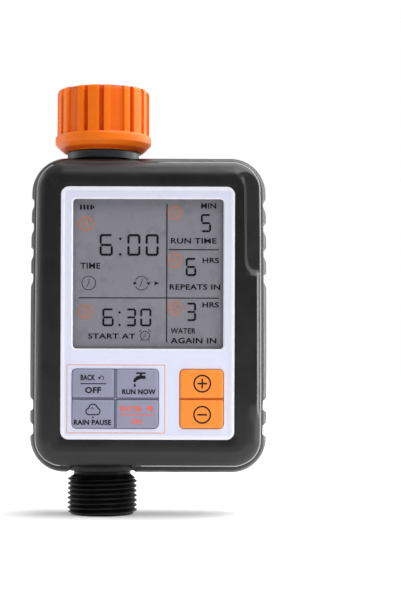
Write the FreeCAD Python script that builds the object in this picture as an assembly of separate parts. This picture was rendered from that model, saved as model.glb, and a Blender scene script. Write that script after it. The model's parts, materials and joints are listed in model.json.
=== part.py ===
import FreeCAD, Part
import math
import os

# Drip irrigation timer for a garden tap, in millimetres.
#
# Frame: the origin is the centre of the inlet nut's mouth, on the axis of the water line.
# +Z is up, the way the tap leaves the nut. The display and keys face -Y, and +X is to their right.
# Depths into the housing are therefore Y values, growing from the front (-22) to the back (+18).

# ---------------------------------------------------------------- housing
BODY_LEFT = -27.1
BODY_RIGHT = 61.95
BODY_TOP = -25.5
BODY_BOTTOM = -144.0
BODY_CORNER_R = 13.0
BODY_TAPER = 0.55
WALL = 2.3
FRONT_Y = -22.0
FRONT_INNER_Y = -20.0
SEAM_Y = -12.0
SEAL_THICKNESS = 0.6
BACK_Y = 18.0
BACK_INNER_Y = BACK_Y - WALL
# Each level is (depth y, inset from the body outline).
FRONT_LEVELS = [(SEAM_Y, 2.9), (-14.0, 3.5), (-17.5, 4.4), (-20.3, 6.3), (FRONT_Y, 9.1)]
FRONT_CAVITY = [(SEAM_Y + 1.0, 5.1), (-14.0, 5.8), (-17.2, 6.9), (FRONT_INNER_Y, 10.4)]
REAR_LEVELS = [(SEAM_Y + SEAL_THICKNESS, 3.0), (-9.5, 1.2), (-7.0, 0.3), (-4.5, 0.0),
               (13.0, 0.0), (16.2, 1.3), (BACK_Y, 4.2)]
REAR_CAVITY = [(SEAM_Y - 1.0, 5.2), (-8.5, 3.4), (-4.5, WALL), (12.6, WALL), (BACK_INNER_Y, 4.2)]
SEAL_LIP = (3.5, 5.0)

SIDE_PAD_Z = (-120.0, -70.4)
SIDE_PAD_X = (48.0, 57.2)
SIDE_PAD_FOOT_X = 59.0

GRIP_DEPTH = 1.2
GRIP_MOUTH = 5.5
GRIP_FLOOR = 2.7
GRIP_Z = (-44.2, -53.1, -62.6, -72.1, -118.6, -127.8)
GRIP_BACK_Y = 9.0

SCREW_X = (-16.5, 52.0)
SCREW_Z = (-36.0, -136.8)
SCREW_BOSS_R = 4.0
SCREW_SHANK_R = 1.2
SCREW_CLEARANCE_R = 1.7
SCREW_PILOT_R = 1.25
SCREW_HEAD_R = 2.5
SCREW_HEAD_HEIGHT = 2.0
SCREW_RECESS_R = 2.9
SCREW_RECESS_Y = 14.0
SCREW_TIP_Y = -17.0
PIPE_HOLE_R = 10.6
FIT_GAP = 0.2
INLET_RISE_X = (-15.5, 15.5)
INLET_RISE_Y = (-17.6, SEAM_Y)
INLET_RISE_Z = (-31.0, -27.0)

# ---------------------------------------------------------------- face panel and display
PANEL_X = (-14.4, 49.1)
PANEL_Z = (-130.9, -38.5)
PANEL_CORNER_R = 3.0
PANEL_FRONT_Y = -22.2
PANEL_BACK_Y = -21.2
PANEL_FIT = 0.1
WINDOW_X = (-10.0, 45.0)
WINDOW_Z = (-97.7, -43.0)
WINDOW_CORNER_R = 1.3
LENS_BORDER = 2.6
LENS_CORNER_R = 2.0
LENS_BACK_Y = -19.7
GLASS_BORDER = 2.0
GLASS_Y = (-19.5, -17.3)
REFLECTOR_Y = (-17.2, -16.6)
FRAME_BORDER = 4.0
FRAME_BACK_Y = -13.3
FRAME_LEDGE_Y = -16.5
ZEBRA_WIDTH = 2.0

# ---------------------------------------------------------------- keys
MENU_X = (-10.1, 21.4)
ADJUST_X = (29.25, 45.1)
KEYS_Z = (-126.7, -105.2)
KEY_GROOVE = 0.7
KEY_CORNER_R = 1.6
KEY_INNER_R = 0.4
KEY_FRONT_Y = -22.9
KEY_BACK_Y = -19.2
KEY_FLANGE_Y = -20.0
KEY_FLANGE = 0.25
KEY_GAP = 0.15
PLUNGER_R = 2.0
PLUNGER_TIP_Y = -14.4
MAT_Y = (-21.1, -20.1)
MAT_RIB_Y = -21.8
MAT_BORDER = 1.5
MAT_CORNER_R = 1.8
DOME_R = 3.4
DOME_TOP_R = 1.6
DOME_HEIGHT = 0.45
KEY_EDGE_R = 0.3

# ---------------------------------------------------------------- circuit board
BOARD_X = (-19.5, 54.5)
BOARD_Z = (-131.0, -40.0)
BOARD_Y = (-13.2, -11.6)
BOARD_POST_X = (-16.2, 51.2)
BOARD_POST_Z = (-62.0, -112.0)
BOARD_POST_R = 2.0
BOARD_SCREW_R = 0.9
BOARD_PILOT_R = 0.95
BOARD_SCREW_HEAD = (1.9, 1.2)
BOARD_SCREW_TIP_Y = -17.2
# Parts on the board's rear face: chips as (x range, height, z range) and capacitors as (x, z, height).
CHIPS = [((24.0, 34.0), 1.6, (-52.0, -42.0)), ((38.0, 43.0), 1.4, (-50.0, -46.0)),
         ((-14.5, -12.5), 1.2, (-80.0, -72.0)), ((34.0, 42.0), 4.6, (-92.0, -88.0)),
         ((22.0, 30.0), 4.6, (-92.0, -88.0)), ((42.0, 46.0), 1.8, (-70.0, -58.0))]
CAPACITORS = [(20.5, -104.0, 7.0), (28.0, -104.0, 7.0), (46.0, -84.0, 5.0)]
CAPACITOR_R = 2.5

# ---------------------------------------------------------------- water line
THREAD_PITCH = 1.814
THREAD_MAJOR_R = 13.22
THREAD_MINOR_R = 12.06
NUT_THREAD_MINOR_R = 12.2
NUT_THREAD_ROOT_R = 13.35
NUT_THREAD_START = -0.4
NUT_THREAD_TURNS = 7
NUT_LAND = 0.3
NUT_HEIGHT = 23.5
NUT_RIB_R = 17.4
NUT_RIB_BOTTOM = -17.5
NUT_FLANGE_R = 18.15
NUT_FLANGE_BOTTOM = -20.9
NUT_FOOT_R = 14.65
NUT_SHOULDER_Z = -19.3
NUT_SHOULDER_R = 9.9
NUT_GROOVE_DEPTH = 0.9
NUT_NARROW_GROOVE = 1.5
NUT_WIDE_GROOVE = 5.1

TAIL_FLANGE_R = 11.8
TAIL_FLANGE_Z = (-19.1, -16.5)
TAIL_NECK_R = 9.6
TAIL_SHANK_R = 8.85
TAIL_BORE_R = 7.0
TAIL_END_Z = -34.0
WASHER_Z = (-15.9, -13.9)
WASHER_BORE_R = 8.2
SCREEN_DEPTH = 12.0
SCREEN_SLOTS = 12
SCREEN_SLOT_WIDTH = 1.0
O_RING_R = 0.42
O_RING_GROOVE = 0.9
TAIL_RING_Z = (-30.0, -28.0)
SPOUT_RING_Z = (-72.0, -70.0)
COLLAR_R = 13.55
COLLAR_Z = (-26.4, -23.8)
COLLAR_GAP = 0.2
VALVE_R = 10.4
VALVE_END_Z = -144.3
VALVE_SOCKET_R = 8.9
VALVE_BORE_R = 6.5
CHAMBER_R = 8.3
BALL_Z = -57.0
BALL_R = 7.6
BALL_BORE_R = 4.8
SEAT_OUT_R = 8.2
SEAT_IN_R = 5.2
SEAT_NEAR = 4.0
SEAT_FAR = 8.6
STEM_R = 2.94
STEM_BORE_R = 3.0
STEM_BOSS_R = 5.5
STEM_BOSS_X = 14.5
STEM_SEAL_X = (9.4, 12.2)
STEM_SEAL_R = 0.43

SPOUT_TUBE_R = 8.2
SPOUT_BORE_R = 5.6
SPOUT_NECK_R = 10.75
SPOUT_NECK_Z = (-145.2, -144.4)
SKIRT_R = 12.9
SKIRT_REACH = 4.6
SKIRT_Z = (-143.2, -140.2)
SKIRT_ROOM_Z = -139.9
SPOUT_END_Z = -160.1
SPOUT_CRESTS = 8
SPOUT_FIRST_CREST_Z = -146.4
SPOUT_LAND = 0.24

# ---------------------------------------------------------------- gear train, on axes along X
GEAR_MODULE = 0.5
PRESSURE_ANGLE = math.radians(25)
ADDENDUM = 0.8 * GEAR_MODULE
DEDENDUM = 1.05 * GEAR_MODULE
BACKLASH = 0.06
WHEEL_TEETH = 30
PINION_TEETH = 10
FLANK_STEPS = 3
# Gear centres are (y, z): each neighbour is one centre distance of 10 mm away.
OUTPUT_AT = (0.0, BALL_Z)
SECOND_AT = (6.0, BALL_Z + 8.0)
FIRST_AT = (0.0, BALL_Z + 16.0)
MOTOR_AT = (8.0, BALL_Z + 22.0)
GEARBOX_Y = (-9.3, 15.2)
GEARBOX_Z = (-72.8, -30.0)
GEARBOX_CORNER_R = 3.0
GEARBOX_WALL = 1.0
BASE_X = (15.0, 16.6)
CAM_X = (17.0, 18.8)
OUTPUT_X = (19.0, 22.2)
SECOND_X = (22.9, 25.1)
FIRST_X = (25.8, 27.6)
COVER_X = (28.4, 29.9)
AXLE_R = 0.75
GEAR_BORE_R = 0.80
PLATE_HOLE_R = 0.76
GEARBOX_SCREWS = ((-7.0, -32.3), (12.9, -58.5), (-7.0, -70.5), (12.9, -70.5))
GEARBOX_POST = 1.9
MOTOR_X = (30.0, 45.0)
MOTOR_CAP_X = 47.2
MOTOR_R = 6.0
MOTOR_FLAT = 5.0

# ---------------------------------------------------------------- batteries
CELL_R = 7.25
CELL_X = (28.0, 43.6)
CELL_Y = 7.9
CELL_Z = (-128.5, -78.0)
CELL_NIPPLE_R = 2.6
CELL_NIPPLE = 1.4
TRAY_X = (20.0, 51.6)
TRAY_Z = (-130.9, -75.0)
TRAY_Y = (-1.2, BACK_INNER_Y)
TRAY_WALL = 1.2
DOOR_X = (17.8, 53.8)
DOOR_Z = (-132.7, -72.8)
DOOR_CORNER_R = 3.0
DOOR_SEAT_Y = 16.5
DOOR_GAP = 0.2
HINGE_SWING_GAP = 0.8
DOOR_RIB_Y = 14.2
HINGE_Y = 16.6
HINGE_Z = -134.6
HINGE_BARREL_R = 1.4
HINGE_PIN_R = 0.7
HINGE_RUNNING_R = 0.76
HINGE_PRESS_R = 0.71
HINGE_PIN_X = (22.5, 48.9)
HINGE_BARREL_X = ((25.0, 31.0), (40.6, 46.6))
HINGE_PAD_X = (18.0, 54.0)
HINGE_PAD_Z = (-137.6, -132.2)
HINGE_PAD_Y = 13.2
FINGER_DIP_R = 6.0
DOOR_RIDGES_Z = (-79.0, -77.0, -75.0)
DOOR_RIDGE_LENGTH = 14.0
SPRING_TURNS = 3
SPRING_WIRE_R = 0.28
SPRING_FOOT_R = 4.2
SPRING_STEP = 0.6
PLATE_THICKNESS = 0.4


# ---------------------------------------------------------------- shape helpers
def vec(x, y, z):
    return FreeCAD.Vector(x, y, z)


def box(xs, ys, zs):
    """Block between the low and high values of each pair."""
    size = [abs(p[1] - p[0]) for p in (xs, ys, zs)]
    return Part.makeBox(*size, vec(min(xs), min(ys), min(zs)))


def rod_x(r, xs, at):
    """Rod along X through at = (y, z)."""
    return Part.makeCylinder(r, abs(xs[1] - xs[0]), vec(min(xs), *at), vec(1, 0, 0))


def rod_y(r, ys, at):
    """Rod along Y through at = (x, z)."""
    return Part.makeCylinder(r, abs(ys[1] - ys[0]), vec(at[0], min(ys), at[1]), vec(0, 1, 0))


def rod_z(r, zs, at=(0, 0)):
    """Rod along Z through at = (x, y)."""
    return Part.makeCylinder(r, abs(zs[1] - zs[0]), vec(*at, min(zs)), vec(0, 0, 1))


def lathe(points):
    """Solid of revolution about Z from a closed outline of (radius, z) points."""
    ring = [vec(r, 0, z) for r, z in points]
    face = Part.Face(Part.makePolygon(ring + ring[:1]))
    return face.revolve(vec(0, 0, 0), vec(0, 0, 1), 360)


def fuse(shapes):
    return shapes[0].multiFuse(shapes[1:]).removeSplitter()


def outline(xs, zs, r, y):
    """Rounded rectangle in the plane of depth y."""
    x0, x1 = min(xs), max(xs)
    z0, z1 = min(zs), max(zs)
    edges = []
    corners = ((x1 - r, z0 + r, -90), (x1 - r, z1 - r, 0), (x0 + r, z1 - r, 90), (x0 + r, z0 + r, 180))
    arcs = []
    for cx, cz, start in corners:
        points = []
        for step in (0, 45, 90):
            angle = math.radians(start + step)
            points.append(vec(cx + r * math.cos(angle), y, cz + r * math.sin(angle)))
        arcs.append(points)
    for i, (first, middle, last) in enumerate(arcs):
        edges.append(Part.Arc(first, middle, last).toShape())
        edges.append(Part.LineSegment(last, arcs[(i + 1) % 4][0]).toShape())
    return Part.Wire(edges)


def slab(xs, zs, r, ys):
    """Flat plate with rounded corners, between two depths."""
    return Part.Face(outline(xs, zs, r, min(ys))).extrude(vec(0, abs(ys[1] - ys[0]), 0))


def grow(pair, margin):
    return (min(pair) - margin, max(pair) + margin)


def side_inset(z):
    """How far the tapering sides lie inside the body's width at height z."""
    return BODY_TAPER * (z - BODY_BOTTOM) / (BODY_TOP - BODY_BOTTOM)


def body_outline(inset, y):
    """Outline of the body at depth y: a rounded rectangle that narrows slightly towards the top."""
    low, high = BODY_BOTTOM + inset, BODY_TOP - inset
    places = [(BODY_RIGHT, low, -1), (BODY_RIGHT, high, -1), (BODY_LEFT, high, 1), (BODY_LEFT, low, 1)]
    corners = [vec(x + inward * (inset + side_inset(z)), y, z) for x, z, inward in places]
    r = BODY_CORNER_R - inset
    arcs = []
    for i, corner in enumerate(corners):
        before = (corners[i - 1] - corner).normalize()
        after = (corners[(i + 1) % 4] - corner).normalize()
        half = before.getAngle(after) / 2
        middle = (before + after).normalize()
        centre = corner + middle * (r / math.sin(half))
        arcs.append((corner + before * (r / math.tan(half)), centre - middle * r,
                     corner + after * (r / math.tan(half))))
    edges = []
    for i, (first, middle, last) in enumerate(arcs):
        edges.append(Part.Arc(first, middle, last).toShape())
        edges.append(Part.LineSegment(last, arcs[(i + 1) % 4][0]).toShape())
    return Part.Wire(edges)


def body_loft(levels):
    """Solid that follows the body outline, inset by a different amount at each depth."""
    return Part.makeLoft([body_outline(inset, y) for y, inset in levels], True, True)


def annular_thread(z_first, count, step, crest_r, root_r, land):
    """Outline points of parallel ridges at the thread's pitch, each with a narrow flat crest."""
    points = []
    for i in range(count):
        z = z_first + i * step
        side = math.copysign(land / 2, step)
        points += [(crest_r, z - side), (crest_r, z + side)]
        if i < count - 1:
            middle = z + step / 2
            points += [(root_r, middle - side), (root_r, middle + side)]
    return points


# ---------------------------------------------------------------- housing shells
def side_pad():
    """Raised land that carries the front face out to the right-hand edge."""
    zs = SIDE_PAD_Z
    front = outline(SIDE_PAD_X, zs, 3.0, FRONT_Y)
    foot = outline((SIDE_PAD_X[0], SIDE_PAD_FOOT_X), grow(zs, 2.0), 4.0, SEAM_Y)
    return Part.makeLoft([foot, front], True, True)


def screw_places():
    return [(x, z) for x in SCREW_X for z in SCREW_Z]


def board_posts():
    return [(x, z) for x in BOARD_POST_X for z in BOARD_POST_Z]


def outlet_skirt(r, zs):
    """Round column about the outlet, drawn forward so that it reaches under the front shell."""
    forward = rod_z(r, zs, (0, -SKIRT_REACH))
    return fuse([rod_z(r, zs), forward, box((-r, r), (-SKIRT_REACH, 0), zs)])


def neck_rooms():
    """Room in the shells for the inlet's collar and the outlet's skirt."""
    return [rod_z(COLLAR_R + COLLAR_GAP, (COLLAR_Z[0] - 0.1, BODY_TOP + 1)),
            outlet_skirt(SKIRT_R + COLLAR_GAP, (BODY_BOTTOM - 1, SKIRT_ROOM_Z))]


def front_shell():
    outer = fuse([body_loft(FRONT_LEVELS), side_pad(), box(INLET_RISE_X, INLET_RISE_Y, INLET_RISE_Z)])
    inner = body_loft(FRONT_CAVITY)
    shell = outer.cut(inner)
    bosses = [rod_y(SCREW_BOSS_R - 0.4, (SEAM_Y, FRONT_INNER_Y), at) for at in screw_places()]
    posts = [rod_y(BOARD_POST_R, (BOARD_Y[0], FRONT_INNER_Y), at) for at in board_posts()]
    inside = [piece.common(outer) for piece in bosses + posts]
    shell = fuse([shell] + inside)
    cuts = neck_rooms() + [
        slab(grow(PANEL_X, PANEL_FIT), grow(PANEL_Z, PANEL_FIT), PANEL_CORNER_R + PANEL_FIT,
             (FRONT_Y - 1, PANEL_BACK_Y)),
        slab(grow(WINDOW_X, LENS_BORDER + FIT_GAP), grow(WINDOW_Z, LENS_BORDER + FIT_GAP),
             LENS_CORNER_R + FIT_GAP, (FRONT_Y - 1, FRONT_INNER_Y + 1)),
    ]
    for xs in (MENU_X, ADJUST_X):
        border = MAT_BORDER + FIT_GAP
        cuts.append(slab(grow(xs, border), grow(KEYS_Z, border), MAT_CORNER_R + FIT_GAP,
                         (FRONT_Y - 1, FRONT_INNER_Y + 1)))
    cuts += [rod_y(SCREW_PILOT_R, (SEAM_Y + 1, SCREW_TIP_Y - 1), at) for at in screw_places()]
    cuts += [rod_y(BOARD_PILOT_R, (BOARD_Y[0] + 1, BOARD_SCREW_TIP_Y - 0.4), at) for at in board_posts()]
    return shell.cut(cuts)


def grip_notches():
    """Sloped finger notches down both sides of the rear shell."""
    notches = []
    for z in GRIP_Z:
        for edge, outward in ((BODY_LEFT, -1), (BODY_RIGHT, 1)):
            mouth = edge + outward * 0.5
            floor = edge - outward * (GRIP_DEPTH + side_inset(z))
            half_mouth = GRIP_MOUTH / 2 * (1 + 0.5 / GRIP_DEPTH * (1 - GRIP_FLOOR / GRIP_MOUTH))
            corners = [(mouth, z - half_mouth), (floor, z - GRIP_FLOOR / 2),
                       (floor, z + GRIP_FLOOR / 2), (mouth, z + half_mouth)]
            ring = [vec(x, SEAM_Y - 1, height) for x, height in corners]
            face = Part.Face(Part.makePolygon(ring + ring[:1]))
            notches.append(face.extrude(vec(0, GRIP_BACK_Y - SEAM_Y + 1, 0)))
    return notches


def rear_shell():
    outer = body_loft(REAR_LEVELS)
    shell = outer.cut(body_loft(REAR_CAVITY))
    seam = SEAM_Y + SEAL_THICKNESS
    bosses = [rod_y(SCREW_BOSS_R, (seam, BACK_Y - 1), at).common(outer) for at in screw_places()]
    hinge_pad = box(HINGE_PAD_X, (HINGE_PAD_Y, BACK_INNER_Y), HINGE_PAD_Z)
    shell = fuse([shell, hinge_pad] + bosses)
    seat_z = (DOOR_Z[0] - HINGE_SWING_GAP, DOOR_Z[1] + DOOR_GAP)
    cuts = grip_notches() + neck_rooms() + [
        rod_z(PIPE_HOLE_R, (BODY_BOTTOM - 1, BODY_BOTTOM + 12)),
        rod_z(PIPE_HOLE_R, (BODY_TOP - 12, BODY_TOP + 1)),
        slab(TRAY_X, TRAY_Z, 1.0, (BACK_INNER_Y - 1, BACK_Y + 1)),
        slab(grow(DOOR_X, DOOR_GAP), seat_z, DOOR_CORNER_R, (DOOR_SEAT_Y, BACK_Y + 1)),
        rod_y(FINGER_DIP_R, (DOOR_SEAT_Y + 0.3, BACK_Y + 1), (sum(DOOR_X) / 2, DOOR_Z[1] + 1.0)),
        rod_x(HINGE_PRESS_R, HINGE_PIN_X, (HINGE_Y, HINGE_Z)),
    ]
    for xs in HINGE_BARREL_X:
        cuts.append(box(grow(xs, DOOR_GAP), (HINGE_Y - HINGE_BARREL_R - 0.3, BACK_Y + 1),
                        (HINGE_Z - 2.3, DOOR_Z[0] + 0.1)))
    for at in screw_places():
        cuts.append(rod_y(SCREW_CLEARANCE_R, (seam - 1, BACK_Y + 1), at))
        cuts.append(rod_y(SCREW_RECESS_R, (SCREW_RECESS_Y, BACK_Y + 1), at))
    return shell.cut(cuts)


def shell_seal():
    """Flat rubber ring squeezed between the two shells."""
    ys = (SEAM_Y, SEAM_Y + SEAL_THICKNESS)
    outer = Part.Face(body_outline(SEAL_LIP[0], ys[0])).extrude(vec(0, SEAL_THICKNESS, 0))
    inner = Part.Face(body_outline(SEAL_LIP[1], ys[0])).extrude(vec(0, SEAL_THICKNESS, 0))
    return outer.cut([inner] + neck_rooms())


def shell_screws():
    screws = []
    for at in screw_places():
        head = rod_y(SCREW_HEAD_R, (SCREW_RECESS_Y, SCREW_RECESS_Y + SCREW_HEAD_HEIGHT), at)
        shank = rod_y(SCREW_SHANK_R, (SCREW_TIP_Y, SCREW_RECESS_Y + 0.5), at)
        slots = [box(grow((at[0],), half_x), (SCREW_RECESS_Y + 1.0, SCREW_RECESS_Y + 3),
                     grow((at[1],), half_z)) for half_x, half_z in ((1.6, 0.3), (0.3, 1.6))]
        screws.append(fuse([head.cut(slots), shank]))
    return Part.makeCompound(screws)


# ---------------------------------------------------------------- face panel, display, keys
def key_cells(xs, columns):
    """Rectangles (xs, zs) of a block of keys in the given columns and two rows."""
    z_low, z_high = KEYS_Z
    row = (z_high - z_low - KEY_GROOVE) / 2
    column = (xs[1] - xs[0] - KEY_GROOVE * (columns - 1)) / columns
    cells = []
    for z in (z_high - row, z_low):
        for i in range(columns):
            x = xs[0] + i * (column + KEY_GROOVE)
            cells.append(((x, x + column), (z, z + row)))
    return cells


def face_panel():
    panel = slab(PANEL_X, PANEL_Z, PANEL_CORNER_R, (PANEL_FRONT_Y, PANEL_BACK_Y))
    through = (PANEL_FRONT_Y - 1, PANEL_BACK_Y + 1)
    cuts = [slab(WINDOW_X, WINDOW_Z, WINDOW_CORNER_R, through)]
    for xs in (MENU_X, ADJUST_X):
        cuts.append(slab(grow(xs, KEY_GAP), grow(KEYS_Z, KEY_GAP), KEY_CORNER_R, through))
    return panel.cut(cuts)


def window_slab(border, ys):
    return slab(grow(WINDOW_X, border), grow(WINDOW_Z, border), LENS_CORNER_R, ys)


def display_pieces():
    zebra_z = (WINDOW_Z[0] - GLASS_BORDER + 0.4, WINDOW_Z[1] + GLASS_BORDER - 0.4 - ZEBRA_WIDTH)
    strips = [box(grow(WINDOW_X, -1.0), (GLASS_Y[1], BOARD_Y[0]), (z, z + ZEBRA_WIDTH)) for z in zebra_z]
    frame = window_slab(FRAME_BORDER, (GLASS_Y[0], FRAME_BACK_Y))
    frame = frame.cut([window_slab(GLASS_BORDER + 0.2, (GLASS_Y[0] - 1, FRAME_LEDGE_Y)),
                       window_slab(GLASS_BORDER - 0.3, (FRAME_LEDGE_Y - 1, FRAME_BACK_Y + 1))])
    middle_z = (zebra_z[0] + ZEBRA_WIDTH + 0.3, zebra_z[1] - 0.3)
    return {
        "display_lens": window_slab(LENS_BORDER, (PANEL_BACK_Y, LENS_BACK_Y)),
        "display_glass": window_slab(GLASS_BORDER, GLASS_Y),
        "display_reflector": slab(grow(WINDOW_X, 1.5), middle_z, 0.5, REFLECTOR_Y),
        "display_frame": frame,
        "contact_strips": Part.makeCompound(strips),
    }


def key(cell, block_x):
    """Key cap with a retaining flange and a plunger; its outer corner follows the block's."""
    xs, zs = cell
    cap = slab(xs, zs, KEY_INNER_R, (KEY_FRONT_Y, KEY_BACK_Y))
    cap = cap.common(slab(block_x, KEYS_Z, KEY_CORNER_R, (KEY_FRONT_Y - 1, KEY_BACK_Y + 1)))
    rounded = [edge for edge in cap.Edges if edge.BoundBox.YMax < KEY_FRONT_Y + 0.01]
    cap = cap.makeFillet(KEY_EDGE_R, rounded)
    flange = slab(grow(xs, KEY_FLANGE), grow(zs, KEY_FLANGE), 0.5, (KEY_FLANGE_Y, KEY_BACK_Y))
    plunger = rod_y(PLUNGER_R, (KEY_BACK_Y, PLUNGER_TIP_Y), (sum(xs) / 2, sum(zs) / 2))
    return fuse([cap, flange, plunger])


def keypad_mat(block_x, cells):
    """Rubber mat behind the panel, open where the keys pass, with a raised rib in each groove."""
    border = (grow(block_x, MAT_BORDER), grow(KEYS_Z, MAT_BORDER))
    mat = slab(*border, MAT_CORNER_R, MAT_Y)
    rib = slab(grow(block_x, -KEY_GAP), grow(KEYS_Z, -KEY_GAP), KEY_CORNER_R, (MAT_RIB_Y, MAT_Y[1]))
    holes = [slab(grow(xs, KEY_GAP), grow(zs, KEY_GAP), KEY_INNER_R, (MAT_RIB_Y - 1, MAT_Y[1] + 1))
             for xs, zs in cells]
    return fuse([mat, rib]).cut(holes)


def key_pieces():
    menu = key_cells(MENU_X, 2)
    adjust = key_cells(ADJUST_X, 1)
    menu_names = ("key_back_off", "key_manual", "key_rain", "key_set")
    pieces = {name: key(cell, MENU_X) for name, cell in zip(menu_names, menu)}
    pieces.update({name: key(cell, ADJUST_X) for name, cell in zip(("key_plus", "key_minus"), adjust)})
    pieces["keypad_mat_menu"] = keypad_mat(MENU_X, menu)
    pieces["keypad_mat_adjust"] = keypad_mat(ADJUST_X, adjust)
    domes = []
    for xs, zs in menu + adjust:
        foot = vec(sum(xs) / 2, BOARD_Y[0], sum(zs) / 2)
        domes.append(Part.makeCone(DOME_R, DOME_TOP_R, DOME_HEIGHT, foot, vec(0, -1, 0)))
    pieces["contact_domes"] = Part.makeCompound(domes)
    return pieces


# ---------------------------------------------------------------- circuit board
def main_board():
    board = slab(BOARD_X, BOARD_Z, 2.0, BOARD_Y)
    return board.cut([rod_y(BOARD_SCREW_R + 0.2, grow(BOARD_Y, 1), at) for at in board_posts()])


def board_components():
    """Controller, memory, crystal, capacitors and plugs on the board's rear face."""
    back = BOARD_Y[1]
    parts = [box(xs, (back, back + tall), zs) for xs, tall, zs in CHIPS]
    parts += [rod_y(CAPACITOR_R, (back, back + tall), (x, z)) for x, z, tall in CAPACITORS]
    return Part.makeCompound(parts)


def board_screws():
    screws = []
    head_r, head_height = BOARD_SCREW_HEAD
    for at in board_posts():
        head = rod_y(head_r, (BOARD_Y[1], BOARD_Y[1] + head_height), at)
        screws.append(fuse([head, rod_y(BOARD_SCREW_R, (BOARD_Y[1] + 0.5, BOARD_SCREW_TIP_Y), at)]))
    return Part.makeCompound(screws)


# ---------------------------------------------------------------- water line
def inlet_nut():
    bore = annular_thread(NUT_THREAD_START - NUT_LAND / 2, NUT_THREAD_TURNS, -THREAD_PITCH,
                          NUT_THREAD_MINOR_R, NUT_THREAD_ROOT_R, NUT_LAND)
    points = [(NUT_RIB_R - 0.7, 0.0), (NUT_THREAD_MINOR_R + 0.5, 0.0)] + bore
    last_z = bore[-1][1]
    points += [
        (NUT_THREAD_ROOT_R, last_z - THREAD_PITCH / 2),
        (NUT_THREAD_ROOT_R, NUT_SHOULDER_Z),
        (NUT_SHOULDER_R, NUT_SHOULDER_Z),
        (NUT_SHOULDER_R, -NUT_HEIGHT),
        (NUT_FOOT_R, -NUT_HEIGHT),
        (NUT_FLANGE_R, NUT_FLANGE_BOTTOM),
        (NUT_FLANGE_R, NUT_RIB_BOTTOM - 0.4),
        (NUT_FLANGE_R - 0.4, NUT_RIB_BOTTOM),
        (NUT_RIB_R, NUT_RIB_BOTTOM),
        (NUT_RIB_R, -0.7),
    ]
    nut = lathe(points)
    grooves = []
    for third in range(6):
        for offset, width in ((-40, NUT_WIDE_GROOVE), (-20, NUT_NARROW_GROOVE), (0, NUT_NARROW_GROOVE)):
            groove = box(grow((0,), width / 2), (-NUT_RIB_R - 2, -NUT_RIB_R + NUT_GROOVE_DEPTH),
                         (NUT_RIB_BOTTOM, 1.0))
            groove.rotate(vec(0, 0, 0), vec(0, 0, 1), 60 * third + offset)
            grooves.append(groove)
    return nut.cut(grooves)


def inlet_tailpiece():
    points = [
        (TAIL_BORE_R, TAIL_FLANGE_Z[1]), (TAIL_FLANGE_R, TAIL_FLANGE_Z[1]),
        (TAIL_FLANGE_R, TAIL_FLANGE_Z[0]), (TAIL_NECK_R, TAIL_FLANGE_Z[0]),
        (TAIL_NECK_R, COLLAR_Z[1]), (TAIL_SHANK_R, COLLAR_Z[1]),
        (TAIL_SHANK_R, TAIL_RING_Z[1]), (TAIL_SHANK_R - O_RING_GROOVE, TAIL_RING_Z[1]),
        (TAIL_SHANK_R - O_RING_GROOVE, TAIL_RING_Z[0]), (TAIL_SHANK_R, TAIL_RING_Z[0]),
        (TAIL_SHANK_R, TAIL_END_Z), (TAIL_BORE_R, TAIL_END_Z),
    ]
    return lathe(points)


def inlet_washer():
    return rod_z(TAIL_FLANGE_R, WASHER_Z).cut(rod_z(WASHER_BORE_R, grow(WASHER_Z, 1)))


def filter_screen():
    """Cup-shaped strainer hanging in the tailpiece from a thin rim, with slots down its wall."""
    rim_z = TAIL_FLANGE_Z[1]
    cup = lathe([(6.0, rim_z + 0.5), (TAIL_FLANGE_R - 0.3, rim_z + 0.5), (TAIL_FLANGE_R - 0.3, rim_z),
                 (6.7, rim_z), (6.2, rim_z - SCREEN_DEPTH), (0.0, rim_z - SCREEN_DEPTH),
                 (0.0, rim_z - SCREEN_DEPTH + 0.7), (5.5, rim_z - SCREEN_DEPTH + 0.7)])
    slots = []
    for i in range(SCREEN_SLOTS):
        slot = box(grow((0,), SCREEN_SLOT_WIDTH / 2), (3.5, 8.0), (rim_z - SCREEN_DEPTH + 1.5, rim_z - 1.5))
        slot.rotate(vec(0, 0, 0), vec(0, 0, 1), 360 / SCREEN_SLOTS * i)
        slots.append(slot)
    return cup.cut(slots)


def valve_body():
    shoulder = BALL_Z + SEAT_FAR + 0.1
    points = [
        (COLLAR_R, COLLAR_Z[1]), (VALVE_SOCKET_R, COLLAR_Z[1]),
        (VALVE_SOCKET_R, TAIL_END_Z - 0.2), (VALVE_BORE_R, TAIL_END_Z - 0.2),
        (VALVE_BORE_R, shoulder), (CHAMBER_R, shoulder),
        (CHAMBER_R, VALVE_END_Z), (VALVE_R, VALVE_END_Z),
        (VALVE_R, COLLAR_Z[0]), (COLLAR_R, COLLAR_Z[0]),
    ]
    body = lathe(points)
    boss = rod_x(STEM_BOSS_R, (CHAMBER_R + 0.6, STEM_BOSS_X), OUTPUT_AT)
    ribs = [box((VALVE_R - 0.8, 13.6), (-1.0, 1.0), (z, z + 3.0)) for z in (BALL_Z - 9.0, BALL_Z + 6.0)]
    return fuse([body, boss] + ribs).cut(rod_x(STEM_BORE_R, (0, STEM_BOSS_X + 1), OUTPUT_AT))


def valve_ball():
    """Ball with its passage across the flow, as it lies when shut, and a slot for the stem."""
    ball = Part.makeSphere(BALL_R, vec(0, 0, BALL_Z))
    passage = rod_y(BALL_BORE_R, (-BALL_R - 1, BALL_R + 1), (0, BALL_Z))
    slot = box((5.6, BALL_R + 1), (-BALL_R, BALL_R), (BALL_Z - 1.25, BALL_Z + 1.25))
    return ball.cut([passage, slot])


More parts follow.
